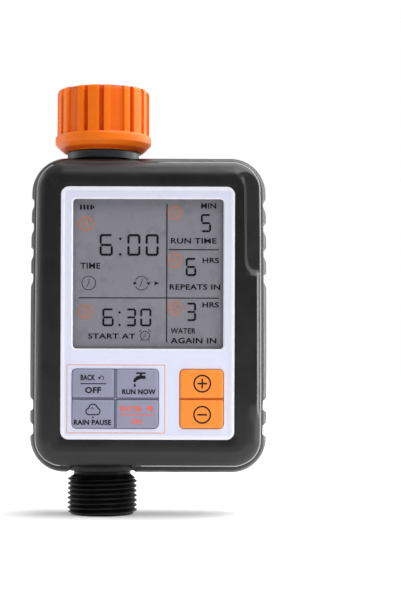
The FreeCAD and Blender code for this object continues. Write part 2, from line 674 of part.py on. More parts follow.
def ball_seats():
    keep_out = Part.makeSphere(BALL_R + 0.05, vec(0, 0, BALL_Z))
    seats = []
    for side in (1, -1):
        ends = (BALL_Z + side * SEAT_NEAR, BALL_Z + side * SEAT_FAR)
        ring = rod_z(SEAT_OUT_R, ends).cut(rod_z(SEAT_IN_R, grow(ends, 1)))
        stem_room = rod_x(STEM_R + 1.2, (0, BALL_R + 2), OUTPUT_AT)
        seats.append(ring.cut([keep_out, stem_room]))
    return Part.makeCompound(seats)


def valve_stem():
    """Stem from the ball's slot out to the output gear, with two grooves for its seals."""
    tongue = box((5.8, 8.0), (-2.6, 2.6), (BALL_Z - 1.15, BALL_Z + 1.15))
    shaft = rod_x(STEM_R, (7.7, 16.9), OUTPUT_AT)
    for x in STEM_SEAL_X:
        groove = rod_x(STEM_R + 1, (x, x + 1.1), OUTPUT_AT).cut(rod_x(2.08, (x - 1, x + 3), OUTPUT_AT))
        shaft = shaft.cut(groove)
    drive = rod_x(2.0, (16.9, OUTPUT_X[1]), OUTPUT_AT)
    drive = drive.cut(box((16.9, 25), (-3, 3), (BALL_Z + 1.5, BALL_Z + 3)))
    journal = rod_x(1.2, (OUTPUT_X[1], COVER_X[1] - 0.3), OUTPUT_AT)
    return fuse([tongue, shaft, drive, journal])


def stem_seals():
    rings = []
    for x in STEM_SEAL_X:
        at = vec(x + 0.55, *OUTPUT_AT)
        rings.append(Part.makeTorus(STEM_SEAL_R + 2.11, STEM_SEAL_R, at, vec(1, 0, 0)))
    return Part.makeCompound(rings)


def line_seals():
    """Two O-rings that seal the tailpiece and the outlet into the valve body."""
    rings = []
    for shank_r, zs in ((TAIL_SHANK_R, TAIL_RING_Z), (SPOUT_TUBE_R, SPOUT_RING_Z)):
        middle = vec(0, 0, sum(zs) / 2)
        rings.append(Part.makeTorus(shank_r - O_RING_GROOVE / 2, O_RING_R, middle, vec(0, 0, 1)))
    return Part.makeCompound(rings)


def outlet_spout():
    top = BALL_Z - SEAT_FAR - 0.1
    thread = annular_thread(SPOUT_FIRST_CREST_Z, SPOUT_CRESTS, -THREAD_PITCH,
                            THREAD_MAJOR_R, THREAD_MINOR_R, SPOUT_LAND)
    points = [
        (SPOUT_BORE_R, top), (SPOUT_TUBE_R, top),
        (SPOUT_TUBE_R, SPOUT_RING_Z[1]), (SPOUT_TUBE_R - O_RING_GROOVE, SPOUT_RING_Z[1]),
        (SPOUT_TUBE_R - O_RING_GROOVE, SPOUT_RING_Z[0]), (SPOUT_TUBE_R, SPOUT_RING_Z[0]),
        (SPOUT_TUBE_R, SPOUT_NECK_Z[1]),
        (SPOUT_NECK_R, SPOUT_NECK_Z[1]), (SPOUT_NECK_R, SPOUT_NECK_Z[0]),
    ] + thread + [
        (THREAD_MINOR_R + 0.3, SPOUT_END_Z), (SPOUT_BORE_R + 3.0, SPOUT_END_Z),
        (SPOUT_BORE_R + 3.0, SPOUT_END_Z + 8.0), (SPOUT_BORE_R, SPOUT_END_Z + 11.0),
    ]
    skirt = outlet_skirt(SKIRT_R, SKIRT_Z).cut(rod_z(PIPE_HOLE_R, grow(SKIRT_Z, 1)))
    web_z = (SPOUT_NECK_Z[1] - 0.4, SKIRT_Z[0] + 0.4)
    web = outlet_skirt(SPOUT_NECK_R + 0.9, web_z).cut(rod_z(PIPE_HOLE_R, (SPOUT_NECK_Z[1], BODY_BOTTOM + 2)))
    web = web.cut(rod_z(SPOUT_TUBE_R, grow(web_z, 1)))
    return fuse([lathe(points), skirt, web])


# ---------------------------------------------------------------- gear train and motor
def involute(base_r, r):
    """Polar angle unwound by the involute between its base circle and radius r."""
    pressure = math.acos(min(1.0, base_r / r))
    return math.tan(pressure) - pressure


def gear(teeth, at, xs, tooth_at):
    """Spur gear on an axis along X, with a tooth centred on the angle tooth_at (from +Y to +Z)."""
    pitch_r = GEAR_MODULE * teeth / 2
    base_r = pitch_r * math.cos(PRESSURE_ANGLE)
    root_r = pitch_r - DEDENDUM
    tip_r = pitch_r + ADDENDUM
    half = (math.pi * GEAR_MODULE / 2 - BACKLASH) / (2 * pitch_r) + involute(base_r, pitch_r)
    low_r = max(base_r, root_r)
    flank = [(root_r, half)] if root_r < base_r else []
    for i in range(FLANK_STEPS + 1):
        r = low_r + (tip_r - low_r) * i / FLANK_STEPS
        flank.append((r, half - involute(base_r, r)))
    ring = []
    for tooth in range(teeth):
        centre = tooth_at + tooth * 2 * math.pi / teeth
        for r, away in flank:
            ring.append((r, centre - away))
        for r, away in reversed(flank):
            ring.append((r, centre + away))
    points = [vec(xs[0], at[0] + r * math.cos(a), at[1] + r * math.sin(a)) for r, a in ring]
    face = Part.Face(Part.makePolygon(points + points[:1]))
    return face.extrude(vec(xs[1] - xs[0], 0, 0))


def bearing_from(at, other):
    return math.atan2(other[1] - at[1], other[0] - at[0])


def driver_phase(at, other):
    """Angle of a tooth on the pinion at other that lies in the gap of the wheel at at."""
    return bearing_from(at, other) + math.pi + math.pi / PINION_TEETH


def output_gear():
    wheel = gear(WHEEL_TEETH, OUTPUT_AT, OUTPUT_X, bearing_from(OUTPUT_AT, SECOND_AT))
    hub = rod_x(3.6, (CAM_X[0], OUTPUT_X[0]), OUTPUT_AT)
    cam = rod_x(5.9, CAM_X, OUTPUT_AT).common(box(CAM_X, (-3.0, 7.0), (BALL_Z - 7.0, BALL_Z - 1.0)))
    bore = rod_x(2.02, (CAM_X[0] - 1, OUTPUT_X[1] + 1), OUTPUT_AT)
    bore = bore.cut(box((CAM_X[0] - 2, OUTPUT_X[1] + 2), (-3, 3), (BALL_Z + 1.52, BALL_Z + 4)))
    return fuse([wheel, hub, cam]).cut(bore)


def compound_gear(at, wheel_x, pinion_x, meshes_up, meshes_down):
    """Wheel and pinion in one piece: the pinion drives the gear at meshes_down."""
    wheel = gear(WHEEL_TEETH, at, wheel_x, bearing_from(at, meshes_up))
    pinion = gear(PINION_TEETH, at, pinion_x, driver_phase(meshes_down, at))
    return fuse([wheel, pinion]).cut(rod_x(GEAR_BORE_R, (CAM_X[0], COVER_X[1]), at))


def gear_axles():
    ends = (BASE_X[0] + 0.4, COVER_X[1] - 0.3)
    return Part.makeCompound([rod_x(AXLE_R, ends, at) for at in (FIRST_AT, SECOND_AT)])


def plate_yz(ys, zs, r, xs):
    """Plate with rounded corners that faces along X."""
    plate = slab(ys, zs, r, xs)
    plate.rotate(vec(0, 0, 0), vec(0, 0, 1), 90)
    return plate.mirror(vec(0, 0, 0), vec(1, 0, 0))


def gearbox_base():
    plate = plate_yz(GEARBOX_Y, GEARBOX_Z, GEARBOX_CORNER_R, BASE_X)
    holes = [rod_x(PLATE_HOLE_R, (BASE_X[0] + 0.4, BASE_X[1] + 1), at) for at in (FIRST_AT, SECOND_AT)]
    holes.append(rod_x(STEM_R + 0.3, grow(BASE_X, 1), OUTPUT_AT))
    holes += [rod_x(0.8, grow(BASE_X, 1), at) for at in GEARBOX_SCREWS]
    return plate.cut(holes)


def gearbox_cover():
    deep = (BASE_X[1], COVER_X[1])
    tub = plate_yz(GEARBOX_Y, GEARBOX_Z, GEARBOX_CORNER_R, deep)
    hollow = plate_yz(grow(GEARBOX_Y, -GEARBOX_WALL), grow(GEARBOX_Z, -GEARBOX_WALL), 2.0,
                      (BASE_X[1] - 1, COVER_X[0]))
    posts = [box(deep, grow((y,), GEARBOX_POST), grow((z,), GEARBOX_POST)) for y, z in GEARBOX_SCREWS]
    cover = tub.cut(hollow.cut(posts))
    holes = [rod_x(PLATE_HOLE_R, (COVER_X[0] - 1, COVER_X[1] - 0.2), at) for at in (FIRST_AT, SECOND_AT)]
    holes.append(rod_x(1.26, (COVER_X[0] - 1, COVER_X[1] - 0.2), OUTPUT_AT))
    holes.append(rod_x(3.4, grow(COVER_X, 1), MOTOR_AT))
    holes += [rod_x(0.8, grow(deep, 1), at) for at in GEARBOX_SCREWS]
    return cover.cut(holes)


def gearbox_screws():
    screws = []
    for at in GEARBOX_SCREWS:
        head = rod_x(1.5, (COVER_X[1], COVER_X[1] + 1.1), at)
        screws.append(fuse([head, rod_x(0.75, (BASE_X[0], COVER_X[1] + 0.5), at)]))
    return Part.makeCompound(screws)


def motor_pieces():
    flat = (MOTOR_AT[1] - MOTOR_FLAT, MOTOR_AT[1] + MOTOR_FLAT)

    def can(xs, less=0.0):
        across = grow((MOTOR_AT[0],), MOTOR_R)
        return rod_x(MOTOR_R - less, xs, MOTOR_AT).common(box(xs, across, grow(flat, -less)))

    pinion = gear(PINION_TEETH, MOTOR_AT, (FIRST_X[0] - 0.2, FIRST_X[1] + 0.3),
                  driver_phase(FIRST_AT, MOTOR_AT))
    shaft_room = rod_x(0.9, (MOTOR_X[0] - 1, MOTOR_X[0] + 4), MOTOR_AT)
    tabs = [box((MOTOR_CAP_X - 0.5, MOTOR_CAP_X + 0.5), (MOTOR_AT[0] + y, MOTOR_AT[0] + y + 0.4),
                grow((MOTOR_AT[1],), 0.8)) for y in (-4.2, 3.8)]
    cap = can((MOTOR_X[1], MOTOR_CAP_X), 0.4)
    return {
        "motor_can": can(MOTOR_X).cut(shaft_room),
        "motor_end_cap": fuse([cap] + tabs),
        "motor_shaft": rod_x(0.8, (FIRST_X[0] - 0.6, MOTOR_X[0] + 3.5), MOTOR_AT),
        "motor_pinion": pinion.cut(rod_x(0.8, grow(FIRST_X, 2), MOTOR_AT)),
    }


def limit_switches():
    """Two lever switches below the cam, one for each end of the ball's quarter turn."""
    switches = []
    for y in (-4.9, 0.6):
        body = box((BASE_X[1] + 0.1, CAM_X[1] + 0.6), (y, y + 4.3), (-71.4, -66.4))
        lever = box((CAM_X[0], CAM_X[1] - 0.3), (y + 0.4, y + 0.8), (-66.4, -64.4))
        switches.append(fuse([body, lever]))
    return Part.makeCompound(switches)


# ---------------------------------------------------------------- batteries and their door
def battery_tray():
    tray = slab(grow(TRAY_X, TRAY_WALL), grow(TRAY_Z, TRAY_WALL), 1.5, TRAY_Y)
    inside = slab(TRAY_X, TRAY_Z, 0.8, (TRAY_Y[0] + TRAY_WALL, TRAY_Y[1] + 1))
    rib_x = sum(CELL_X) / 2
    rib = box(grow((rib_x,), 0.3), (TRAY_Y[0] + TRAY_WALL, 4.0), grow(TRAY_Z, -1.0))
    cells = [rod_z(CELL_R + 0.2, grow(TRAY_Z, -0.5), (x, CELL_Y)) for x in CELL_X]
    return fuse([tray.cut(inside), rib.cut(cells)])


def battery_cells():
    """Two AA cells side by side, the left one nipple up and the right one nipple down."""
    cells = {}
    for name, x, up in (("battery_left", CELL_X[0], True), ("battery_right", CELL_X[1], False)):
        low, high = CELL_Z
        can = (low, high - CELL_NIPPLE) if up else (low + CELL_NIPPLE, high)
        nipple = (high - CELL_NIPPLE - 0.5, high) if up else (low, low + CELL_NIPPLE + 0.5)
        cell = fuse([rod_z(CELL_R, can, (x, CELL_Y)), rod_z(CELL_NIPPLE_R, nipple, (x, CELL_Y))])
        cells[name] = cell
    return cells


def contact_springs():
    """One conical contact per cell's flat end, as a stack of tapering wire rings."""
    springs = []
    for x, end, wall in ((CELL_X[0], CELL_Z[0], TRAY_Z[0]), (CELL_X[1], CELL_Z[1], TRAY_Z[1])):
        inward = 1 if end > wall else -1
        foot = wall + inward * 0.5
        for i in range(SPRING_TURNS):
            z = foot + inward * (SPRING_STEP * (i + 0.5))
            ring_r = SPRING_FOOT_R - 0.8 * i
            springs.append(Part.makeTorus(ring_r, SPRING_WIRE_R, vec(x, CELL_Y, z), vec(0, 0, 1)))
    return Part.makeCompound(springs)


def contact_plates():
    plates = []
    for wall, inward in ((TRAY_Z[0], 1), (TRAY_Z[1], -1)):
        for x in CELL_X:
            zs = (wall + inward * 0.05, wall + inward * (0.05 + PLATE_THICKNESS))
            plates.append(box(grow((x,), 5.2), (CELL_Y - 5.0, CELL_Y + 5.0), zs))
    links = [box((CELL_X[0] + 5.0, CELL_X[1] - 5.0), (CELL_Y - 4.0, CELL_Y - 1.0),
                 (TRAY_Z[1] - 0.05 - PLATE_THICKNESS, TRAY_Z[1] - 0.05))]
    bridge = fuse([plates[2], plates[3]] + links)
    return Part.makeCompound([plates[0], plates[1], bridge])


def battery_door():
    """Door plate with a locating rib inside and two hinge barrels along its lower edge."""
    plate = slab(DOOR_X, DOOR_Z, DOOR_CORNER_R - DOOR_GAP, (DOOR_SEAT_Y + 0.1, BACK_Y))
    rib = slab(grow(TRAY_X, -0.3), grow(TRAY_Z, -0.4), 0.8, (DOOR_RIB_Y, DOOR_SEAT_Y + 0.1))
    rib = rib.cut(slab(grow(TRAY_X, -1.3), grow(TRAY_Z, -1.4), 0.4, (DOOR_RIB_Y - 1, DOOR_SEAT_Y + 0.1)))
    pieces = [plate, rib]
    for xs in HINGE_BARREL_X:
        pieces.append(rod_x(HINGE_BARREL_R, xs, (HINGE_Y, HINGE_Z)))
        pieces.append(box(xs, (HINGE_Y, BACK_Y), (HINGE_Z, DOOR_Z[0] + 1.0)))
    ridge_x = grow((sum(DOOR_X) / 2,), DOOR_RIDGE_LENGTH / 2)
    ridges = [box(ridge_x, (BACK_Y - 0.2, BACK_Y + 0.3), (z, z + 0.8)) for z in DOOR_RIDGES_Z]
    door = fuse(pieces + ridges)
    pin_room = [rod_x(HINGE_RUNNING_R, grow(xs, 0.5), (HINGE_Y, HINGE_Z)) for xs in HINGE_BARREL_X]
    return door.cut(pin_room)


def door_seal():
    """Rubber ring round the door's rib, just inside the opening."""
    outer = slab(grow(TRAY_X, -0.12), grow(TRAY_Z, -0.2), 0.9, (15.1, 15.6))
    return outer.cut(slab(grow(TRAY_X, -0.3), grow(TRAY_Z, -0.4), 0.8, (14, 17)))


def door_hinge_pin():
    return rod_x(HINGE_PIN_R, grow(HINGE_PIN_X, -0.1), (HINGE_Y, HINGE_Z))


# ---------------------------------------------------------------- every piece by name
def all_pieces():
    pieces = {
        "front_shell": front_shell(),
        "rear_shell": rear_shell(),
        "shell_seal": shell_seal(),
        "shell_screws": shell_screws(),
        "face_panel": face_panel(),
        "main_board": main_board(),
        "board_components": board_components(),
        "board_screws": board_screws(),
        "inlet_nut": inlet_nut(),
        "inlet_tailpiece": inlet_tailpiece(),
        "inlet_washer": inlet_washer(),
        "filter_screen": filter_screen(),
        "valve_body": valve_body(),
        "valve_ball": valve_ball(),
        "ball_seats": ball_seats(),
        "valve_stem": valve_stem(),
        "stem_seals": stem_seals(),
        "line_seals": line_seals(),
        "outlet_spout": outlet_spout(),
        "output_gear": output_gear(),
        "second_gear": compound_gear(SECOND_AT, SECOND_X, (OUTPUT_X[0] - 0.1, SECOND_X[0]),
                                     FIRST_AT, OUTPUT_AT),
        "first_gear": compound_gear(FIRST_AT, FIRST_X, (SECOND_X[0] - 0.1, FIRST_X[0]),
                                    MOTOR_AT, SECOND_AT),
        "gear_axles": gear_axles(),
        "gearbox_base": gearbox_base(),
        "gearbox_cover": gearbox_cover(),
        "gearbox_screws": gearbox_screws(),
        "limit_switches": limit_switches(),
        "battery_tray": battery_tray(),
        "contact_springs": contact_springs(),
        "contact_plates": contact_plates(),
        "battery_door": battery_door(),
        "door_seal": door_seal(),
        "door_hinge_pin": door_hinge_pin(),
    }
    for group in (display_pieces(), key_pieces(), motor_pieces(), battery_cells()):
        pieces.update(group)
    return pieces


os.makedirs("parts", exist_ok=True)
for name, shape in all_pieces().items():
    shape.exportStep(f"parts/{name}.step")
    print(f"{name:20s} solids {len(shape.Solids):2d}  valid {shape.isValid()}  {shape.Volume:10.1f} mm3")
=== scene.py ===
import json
import math

import bmesh
import bpy
import numpy as np
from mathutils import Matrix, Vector


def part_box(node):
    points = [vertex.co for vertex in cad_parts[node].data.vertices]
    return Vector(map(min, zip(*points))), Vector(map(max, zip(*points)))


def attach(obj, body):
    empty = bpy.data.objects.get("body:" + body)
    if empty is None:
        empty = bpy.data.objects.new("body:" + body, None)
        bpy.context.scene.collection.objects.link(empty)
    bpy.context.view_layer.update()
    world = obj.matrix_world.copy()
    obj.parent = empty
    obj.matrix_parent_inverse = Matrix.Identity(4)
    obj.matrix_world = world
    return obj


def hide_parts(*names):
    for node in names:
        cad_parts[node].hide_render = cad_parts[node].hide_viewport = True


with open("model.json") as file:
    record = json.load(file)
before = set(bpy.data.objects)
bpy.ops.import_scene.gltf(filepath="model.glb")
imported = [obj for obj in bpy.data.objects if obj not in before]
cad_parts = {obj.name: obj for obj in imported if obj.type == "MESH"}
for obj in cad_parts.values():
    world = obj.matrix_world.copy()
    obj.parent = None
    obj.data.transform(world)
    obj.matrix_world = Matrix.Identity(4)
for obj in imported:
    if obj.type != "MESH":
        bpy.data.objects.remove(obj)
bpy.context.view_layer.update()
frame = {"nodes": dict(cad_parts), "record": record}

# All shape code below works in millimetres in the CAD frame; meshes are written in metres.
MM = 0.001


def node_box(node):
    """Lowest and highest corner of a CAD node, in millimetres."""
    low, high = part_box(node)
    return low / MM, high / MM


def spans(low, high):
    """The x and z ranges between two corners."""
    return (low.x, high.x), (low.z, high.z)


def grow(pair, margin):
    return (pair[0] - margin, pair[1] + margin)


# -------- measures taken from the CAD
REAR_LO, REAR_HI = node_box("rear_shell")
PANEL_LO, PANEL_HI = node_box("face_panel")
GLASS_Y = node_box("display_glass")[0].y
SPOUT_LO, SPOUT_HI = node_box("outlet_spout")

BODY_X = (REAR_LO.x, REAR_HI.x)
TOP_ROUNDING = 0.55                   # the moulding's top edge lies this far below the CAD's
BODY_Z = (REAR_LO.z, REAR_HI.z - TOP_ROUNDING)
BODY_R = 13.0
FRONT_Y = -22.0
SEAM_Y = node_box("front_shell")[1].y
BACK_Y = REAR_HI.y
LENS_BORDER = 2.6
WINDOW_X, WINDOW_Z = [grow(span, -LENS_BORDER) for span in spans(*node_box("display_lens"))]
PANEL_X, PANEL_Z = spans(PANEL_LO, PANEL_HI)
PANEL_R = 3.0
INLET_HOLE_R = 13.75
OUTLET_COLLAR_R = 12.9
COLLAR_REACH = 4.6                    # the outlet collar runs this far forward, into the front shell
WATERWAY_R = 10.6
KEY_BLOCK_R = 1.6


# -------- mesh helpers
def smoothstep(low, high, value):
    t = min(1.0, max(0.0, (value - low) / (high - low)))
    return t * t * (3.0 - 2.0 * t)


def mix(a, b, t):
    return a + (b - a) * t


def new_object(name, mesh):
    obj = bpy.data.objects.new(name, mesh)
    bpy.context.scene.collection.objects.link(obj)
    return obj


def build(name, verts, faces, merge=0.0):
    """Mesh object from millimetre points, with outward normals."""
    mesh = bpy.data.meshes.new(name)
    mesh.from_pydata([(x * MM, y * MM, z * MM) for x, y, z in verts], [], faces)
    work = bmesh.new()
    work.from_mesh(mesh)
    if merge:
        bmesh.ops.remove_doubles(work, verts=work.verts, dist=merge * MM)
        loose = [edge for edge in work.edges if not edge.link_faces]
        bmesh.ops.delete(work, geom=loose, context="EDGES")
    bmesh.ops.recalc_face_normals(work, faces=work.faces)
    work.to_mesh(mesh)
    work.free()
    return new_object(name, mesh)


def loft(rings, closed=False, cap_first=True, cap_last=True):
    """Vertices and quads through rings of equal length; closed joins the last ring to the first."""
    count = len(rings[0])
    verts = [point for ring in rings for point in ring]
    faces = []
    for i in range(len(rings) if closed else len(rings) - 1):
        a = i * count
        b = (i + 1) % len(rings) * count
        for j in range(count):
            k = (j + 1) % count
            faces.append((a + j, a + k, b + k, b + j))
    if not closed and cap_first:
        faces.append(tuple(range(count)))
    if not closed and cap_last:
        faces.append(tuple(range(len(verts) - count, len(verts))))
    return verts, faces


def circle(r, count, turn=0.0):
    """Points of a circle about zero; turn shifts them by a share of one step."""
    angles = [2 * math.pi * (i + turn) / count for i in range(count)]
    return [(r * math.cos(angle), r * math.sin(angle)) for angle in angles]


def at_depth(points, y):
    """Points that start with x and z, as a ring at depth y."""
    return [(point[0], y, point[1]) for point in points]


def carve(obj, *shapes, operation="DIFFERENCE"):
    """Take shapes away from a mesh one by one, or join them to it."""
    for shape in shapes:
        tool = build("tool", *shape)
        modifier = obj.modifiers.new("boolean", "BOOLEAN")
        modifier.object = tool
        modifier.operation = operation
        modifier.solver = "EXACT"
        graph = bpy.context.evaluated_depsgraph_get()
        mesh = bpy.data.meshes.new_from_object(obj.evaluated_get(graph))
        obj.modifiers.clear()
        obj.data = mesh
        bpy.data.objects.remove(tool)


def shade(obj, angle=32.0):
    for polygon in obj.data.polygons:
        polygon.use_smooth = True
    obj.data.set_sharp_from_angle(angle=math.radians(angle))


def corner_points(xs, zs):
    """Corners of a rectangle, anticlockwise from the lower right one."""
    return ((xs[1], zs[0]), (xs[1], zs[1]), (xs[0], zs[1]), (xs[0], zs[0]))


def interp(pairs, value):
    return float(np.interp(value, [p[0] for p in pairs], [p[1] for p in pairs]))


def rounded(xs, zs, radii, segments=8, sides=(1, 1)):
    """Points (x, z, nx, nz) round a rounded rectangle, anticlockwise from the lower right corner; sides
    are the steps along each upright and each level side."""
    if not isinstance(radii, (tuple, list)):
        radii = (radii,) * 4
    inward = ((-1, 1), (-1, -1), (1, -1), (1, 1))
    arcs = []
    for i, ((x, z), (sx, sz), r) in enumerate(zip(corner_points(xs, zs), inward, radii)):
        angles = [math.radians(90 * i - 90 + 90 * step / segments) for step in range(segments + 1)]
        normals = [(math.cos(angle), math.sin(angle)) for angle in angles]
        arcs.append([(x + sx * r + r * nx, z + sz * r + r * nz, nx, nz) for nx, nz in normals])
    points = []
    for i, arc in enumerate(arcs):
        (x, z, nx, nz), end, steps = arc[-1], arcs[(i + 1) % 4][0], sides[i % 2]
        shares = [step / steps for step in range(1, steps)]
        points += arc + [(mix(x, end[0], t), mix(z, end[1], t), nx, nz) for t in shares]
    return points


def plate(xs, zs, radii, levels, segments=8):
    """Rounded plate: levels are (depth y, outward growth) from one face to the other."""
    if not isinstance(radii, (tuple, list)):
        radii = (radii,) * 4
    rings = []
    for y, margin in levels:
        corner = [max(0.04, r + margin) for r in radii]
        rings.append(at_depth(rounded(grow(xs, margin), grow(zs, margin), corner, segments), y))
    return loft(rings)


def rod(axis, r, span, at, count=48):
    """Closed cylinder along y or z through the other two coordinates in at."""
    points = [(at[0] + a, at[1] + b) for a, b in circle(r, count)]
    if axis == "y":
        return loft([at_depth(points, level) for level in span])
    return loft([[(a, b, level) for a, b in points] for level in span])


def block(xs, ys, zs):
    corners = ((xs[0], zs[0]), (xs[1], zs[0]), (xs[1], zs[1]), (xs[0], zs[1]))
    return loft([at_depth(corners, y) for y in ys])


def combine(parts):
    """Vertices and faces of several (verts, faces) pairs as one."""
    verts, faces = [], []
    for part_verts, part_faces in parts:
        start = len(verts)
        verts += part_verts
        faces += [tuple(start + index for index in face) for face in part_faces]
    return verts, faces


# -------- materials
class Tree:
    """Node tree of a new material or world, with short ways to add and join nodes."""

    def __init__(self, owner):
        owner.use_nodes = True
        self.owner = owner
        self.nodes = owner.node_tree.nodes
        self.links = owner.node_tree.links

    def add(self, kind, **settings):
        node = self.nodes.new("ShaderNode" + kind)
        for name, value in settings.items():
            setattr(node, name, value)
        return node

    def feed(self, node, **inputs):
        """Join outputs to a node's inputs, or set plain values on them; _ stands for a space."""
        for name, value in inputs.items():
            socket = node.inputs[name.replace("_", " ")]
            if isinstance(value, bpy.types.NodeSocket):
                self.links.new(value, socket)
            else:
                socket.default_value = value
        return node

    def place(self):
        return self.add("TexCoord").outputs["Object"]

    def noise(self, scale, detail=3.0):
        return self.feed(self.add("TexNoise"), Scale=scale, Detail=detail, Roughness=0.55,
                         Vector=self.place()).outputs["Fac"]

    def ramp(self, source, *stops):
        node = self.feed(self.add("ValToRGB"), Fac=source)
        elements = node.color_ramp.elements
        while len(elements) < len(stops):
            elements.new(0.5)
        for element, (position, colour) in zip(elements, stops):
            element.position = position
            element.color = colour
        return node.outputs["Color"]

    def remap(self, source, low, high, out_low, out_high):
        return self.feed(self.add("MapRange"), Value=source, From_Min=low, From_Max=high, To_Min=out_low,
                         To_Max=out_high).outputs["Result"]

    def maths(self, operation, a, b):
        node = self.add("Math", operation=operation)
        self.links.new(a, node.inputs[0])
        self.links.new(b, node.inputs[1])
        return node.outputs["Value"]

    def length(self, vector):
        return self.feed(self.add("VectorMath", operation="LENGTH"), Vector=vector).outputs["Value"]

    def blend(self, factor, a, b):
        node = self.add("Mix", data_type="RGBA")
        return self.feed(node, Factor=factor, A=a, B=b).outputs["Result"]

    def surface(self, **inputs):
        self.feed(self.nodes["Principled BSDF"], **inputs)

    def recolour(self, factor, colour):
        """Turn the material's base colour into another where the factor is 1."""
        plain = self.nodes["Principled BSDF"].inputs["Base Color"].links[0].from_socket
        self.surface(Base_Color=self.blend(factor, plain, colour))


def srgb(r, g, b):
    """Linear colour from 0-255 display values."""
    linear = []
    for value in (r, g, b):
        value /= 255.0
        linear.append(value / 12.92 if value <= 0.04045 else ((value + 0.055) / 1.055) ** 2.4)
    return (*linear, 1.0)


def grey(level):
    return (level, level, level, 1.0)


def scaled(colour, factor):
    return (*(min(1.0, c * factor) for c in colour[:3]), 1.0)


def moulded(name, colour, roughness, grain=2600.0, bump=0.10, vary=0.10, wear=1.5, specular=0.5,
            metallic=0.0):
    """Moulded or finished surface: drifting colour, a fine grain, uneven gloss and lighter worn edges."""
    tree = Tree(bpy.data.materials.new(name))
    body = tree.ramp(tree.noise(45.0, 4.0), (0.3, scaled(colour, 1 - vary)), (0.7, scaled(colour, 1 + vary)))
    edges = tree.add("NewGeometry").outputs["Pointiness"]
    fine = tree.noise(grain, 2.0)
    patches = tree.remap(tree.noise(160.0), 0.3, 0.7, -0.07, 0.07)
    gloss = tree.remap(fine, 0.3, 0.7, roughness - 0.03, roughness + 0.03)
    relief = tree.feed(tree.add("Bump"), Strength=bump, Distance=0.0001, Height=fine)
    tree.surface(Base_Color=tree.blend(tree.remap(edges, 0.505, 0.57, 0.0, 0.55), body, scaled(colour, wear)),
                 Roughness=tree.maths("ADD", patches, gloss), Normal=relief.outputs["Normal"],
                 Specular_IOR_Level=specular, Metallic=metallic)
    return tree.owner


def clear(name, colour, alpha):
    """Thin clear sheet that lets the layer behind it show."""
    tree = Tree(bpy.data.materials.new(name))
    haze = tree.noise(120.0)
    tree.surface(Roughness=tree.remap(haze, 0.3, 0.7, 0.06, 0.14), Alpha=alpha,
                 Base_Color=tree.ramp(haze, (0.3, scaled(colour, 0.95)), (0.7, colour)))
    return tree.owner


# Name: (display colour, roughness, other values where they differ from the usual ones).
FINISHES = {
    "shell_plastic": ((23, 23, 24), 0.36, dict(bump=0.06, wear=1.8, specular=0.46)),
    "black_plastic": ((15, 15, 16), 0.34, dict(vary=0.14, bump=0.08, wear=2.0, specular=0.25)),
    "collar_plastic": ((44, 52, 56), 0.42, dict(wear=1.6)),
    "nut_plastic": ((250, 119, 13), 0.42, dict(vary=0.05, bump=0.07, wear=1.12, specular=0.3)),
    "panel_plastic": ((222, 224, 243), 0.34, dict(vary=0.012, bump=0.03, wear=1.1)),
    "display_glass": ((145, 144, 152), 0.3, dict(grain=5200.0, vary=0.035, bump=0.02, wear=1.0)),
    "reflector_film": ((190, 190, 188), 0.3, dict(metallic=0.6, wear=1.1)),
    "menu_key_rubber": ((145, 147, 169), 0.55, dict(vary=0.03, bump=0.12, wear=1.1)),
    "adjust_key_rubber": ((254, 144, 44), 0.52, dict(vary=0.025, bump=0.12, wear=1.08)),
    "seal_rubber": ((24, 24, 25), 0.62, dict(vary=0.15, bump=0.2, wear=1.6)),
    "filter_plastic": ((228, 228, 222), 0.45, dict(vary=0.04, wear=1.05)),
    "white_plastic": ((222, 222, 216), 0.42, dict(vary=0.04, wear=1.05)),
    "plated_brass": ((205, 190, 150), 0.28, dict(metallic=1.0, vary=0.08, wear=1.1)),
    "steel": ((176, 178, 182), 0.3, dict(metallic=1.0, vary=0.08, grain=3600.0, wear=1.1)),
    "board_laminate": ((28, 92, 58), 0.4, dict(vary=0.15, wear=1.3)),
    "component_black": ((26, 26, 28), 0.45, dict(vary=0.15)),
    "cell_sleeve": ((36, 88, 104), 0.26, dict(vary=0.06, bump=0.03, wear=1.2)),
    # Light grey of the lip bead: a painted highlight standing in for the bright edge of the front shell's
    # lip.
    "painted_rim_highlight": ((172, 173, 172), 0.3, dict(vary=0.05, bump=0.03, wear=1.1)),
    # Whiter panel colour for the panel's rounded rim and the window's bevel: a painted highlight on those
    # edges.
    "panel_edge_highlight": ((238, 238, 246), 0.3, dict(vary=0.01, bump=0.02, wear=1.0)),
    "print_ink": ((22, 20, 30), 0.5, dict(bump=0.04, wear=1.0, specular=0.2)),
    "segment_ink": ((16, 15, 24), 0.45, dict(vary=0.08, bump=0.02, wear=1.0, specular=0.15)),
    "print_red": ((236, 106, 84), 0.5, dict(vary=0.05, bump=0.04, wear=1.0)),
    "print_orange": ((232, 160, 118), 0.5, dict(vary=0.04, bump=0.03, wear=1.0)),
    "segment_orange": ((196, 128, 98), 0.5, dict(vary=0.06, bump=0.02, wear=1.0)),
}
MATERIALS = {name: moulded(name, srgb(*colour), roughness, **finish)
             for name, (colour, roughness, finish) in FINISHES.items()}
MATERIALS["lens_acrylic"] = clear("lens_acrylic", srgb(70, 70, 80), 0.05)


def cell_sleeve(name, low, high):
    """Printed sleeve: a dark body and a bright band at one end, between two heights in metres."""
    material = moulded(name, srgb(40, 44, 52), 0.24, vary=0.05, bump=0.02, wear=1.2)
    tree = Tree(material)
    height = tree.feed(tree.add("SeparateXYZ"), Vector=tree.place()).outputs["Z"]
    tree.recolour(tree.ramp(tree.remap(height, low, high, 0.0, 1.0), (0.46, grey(0)), (0.54, grey(1))),
                  srgb(190, 112, 52))
    return material


def settle(obj, body, slot=None, nodes=(), finish=None, angle=32.0):
    """Shading, material, the body it rides on and the CAD nodes it stands for."""
    shade(obj, angle)
    obj.data.materials.clear()
    obj.data.materials.append(MATERIALS[finish or slot])
    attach(obj, body)
    if nodes:
        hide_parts(*nodes)


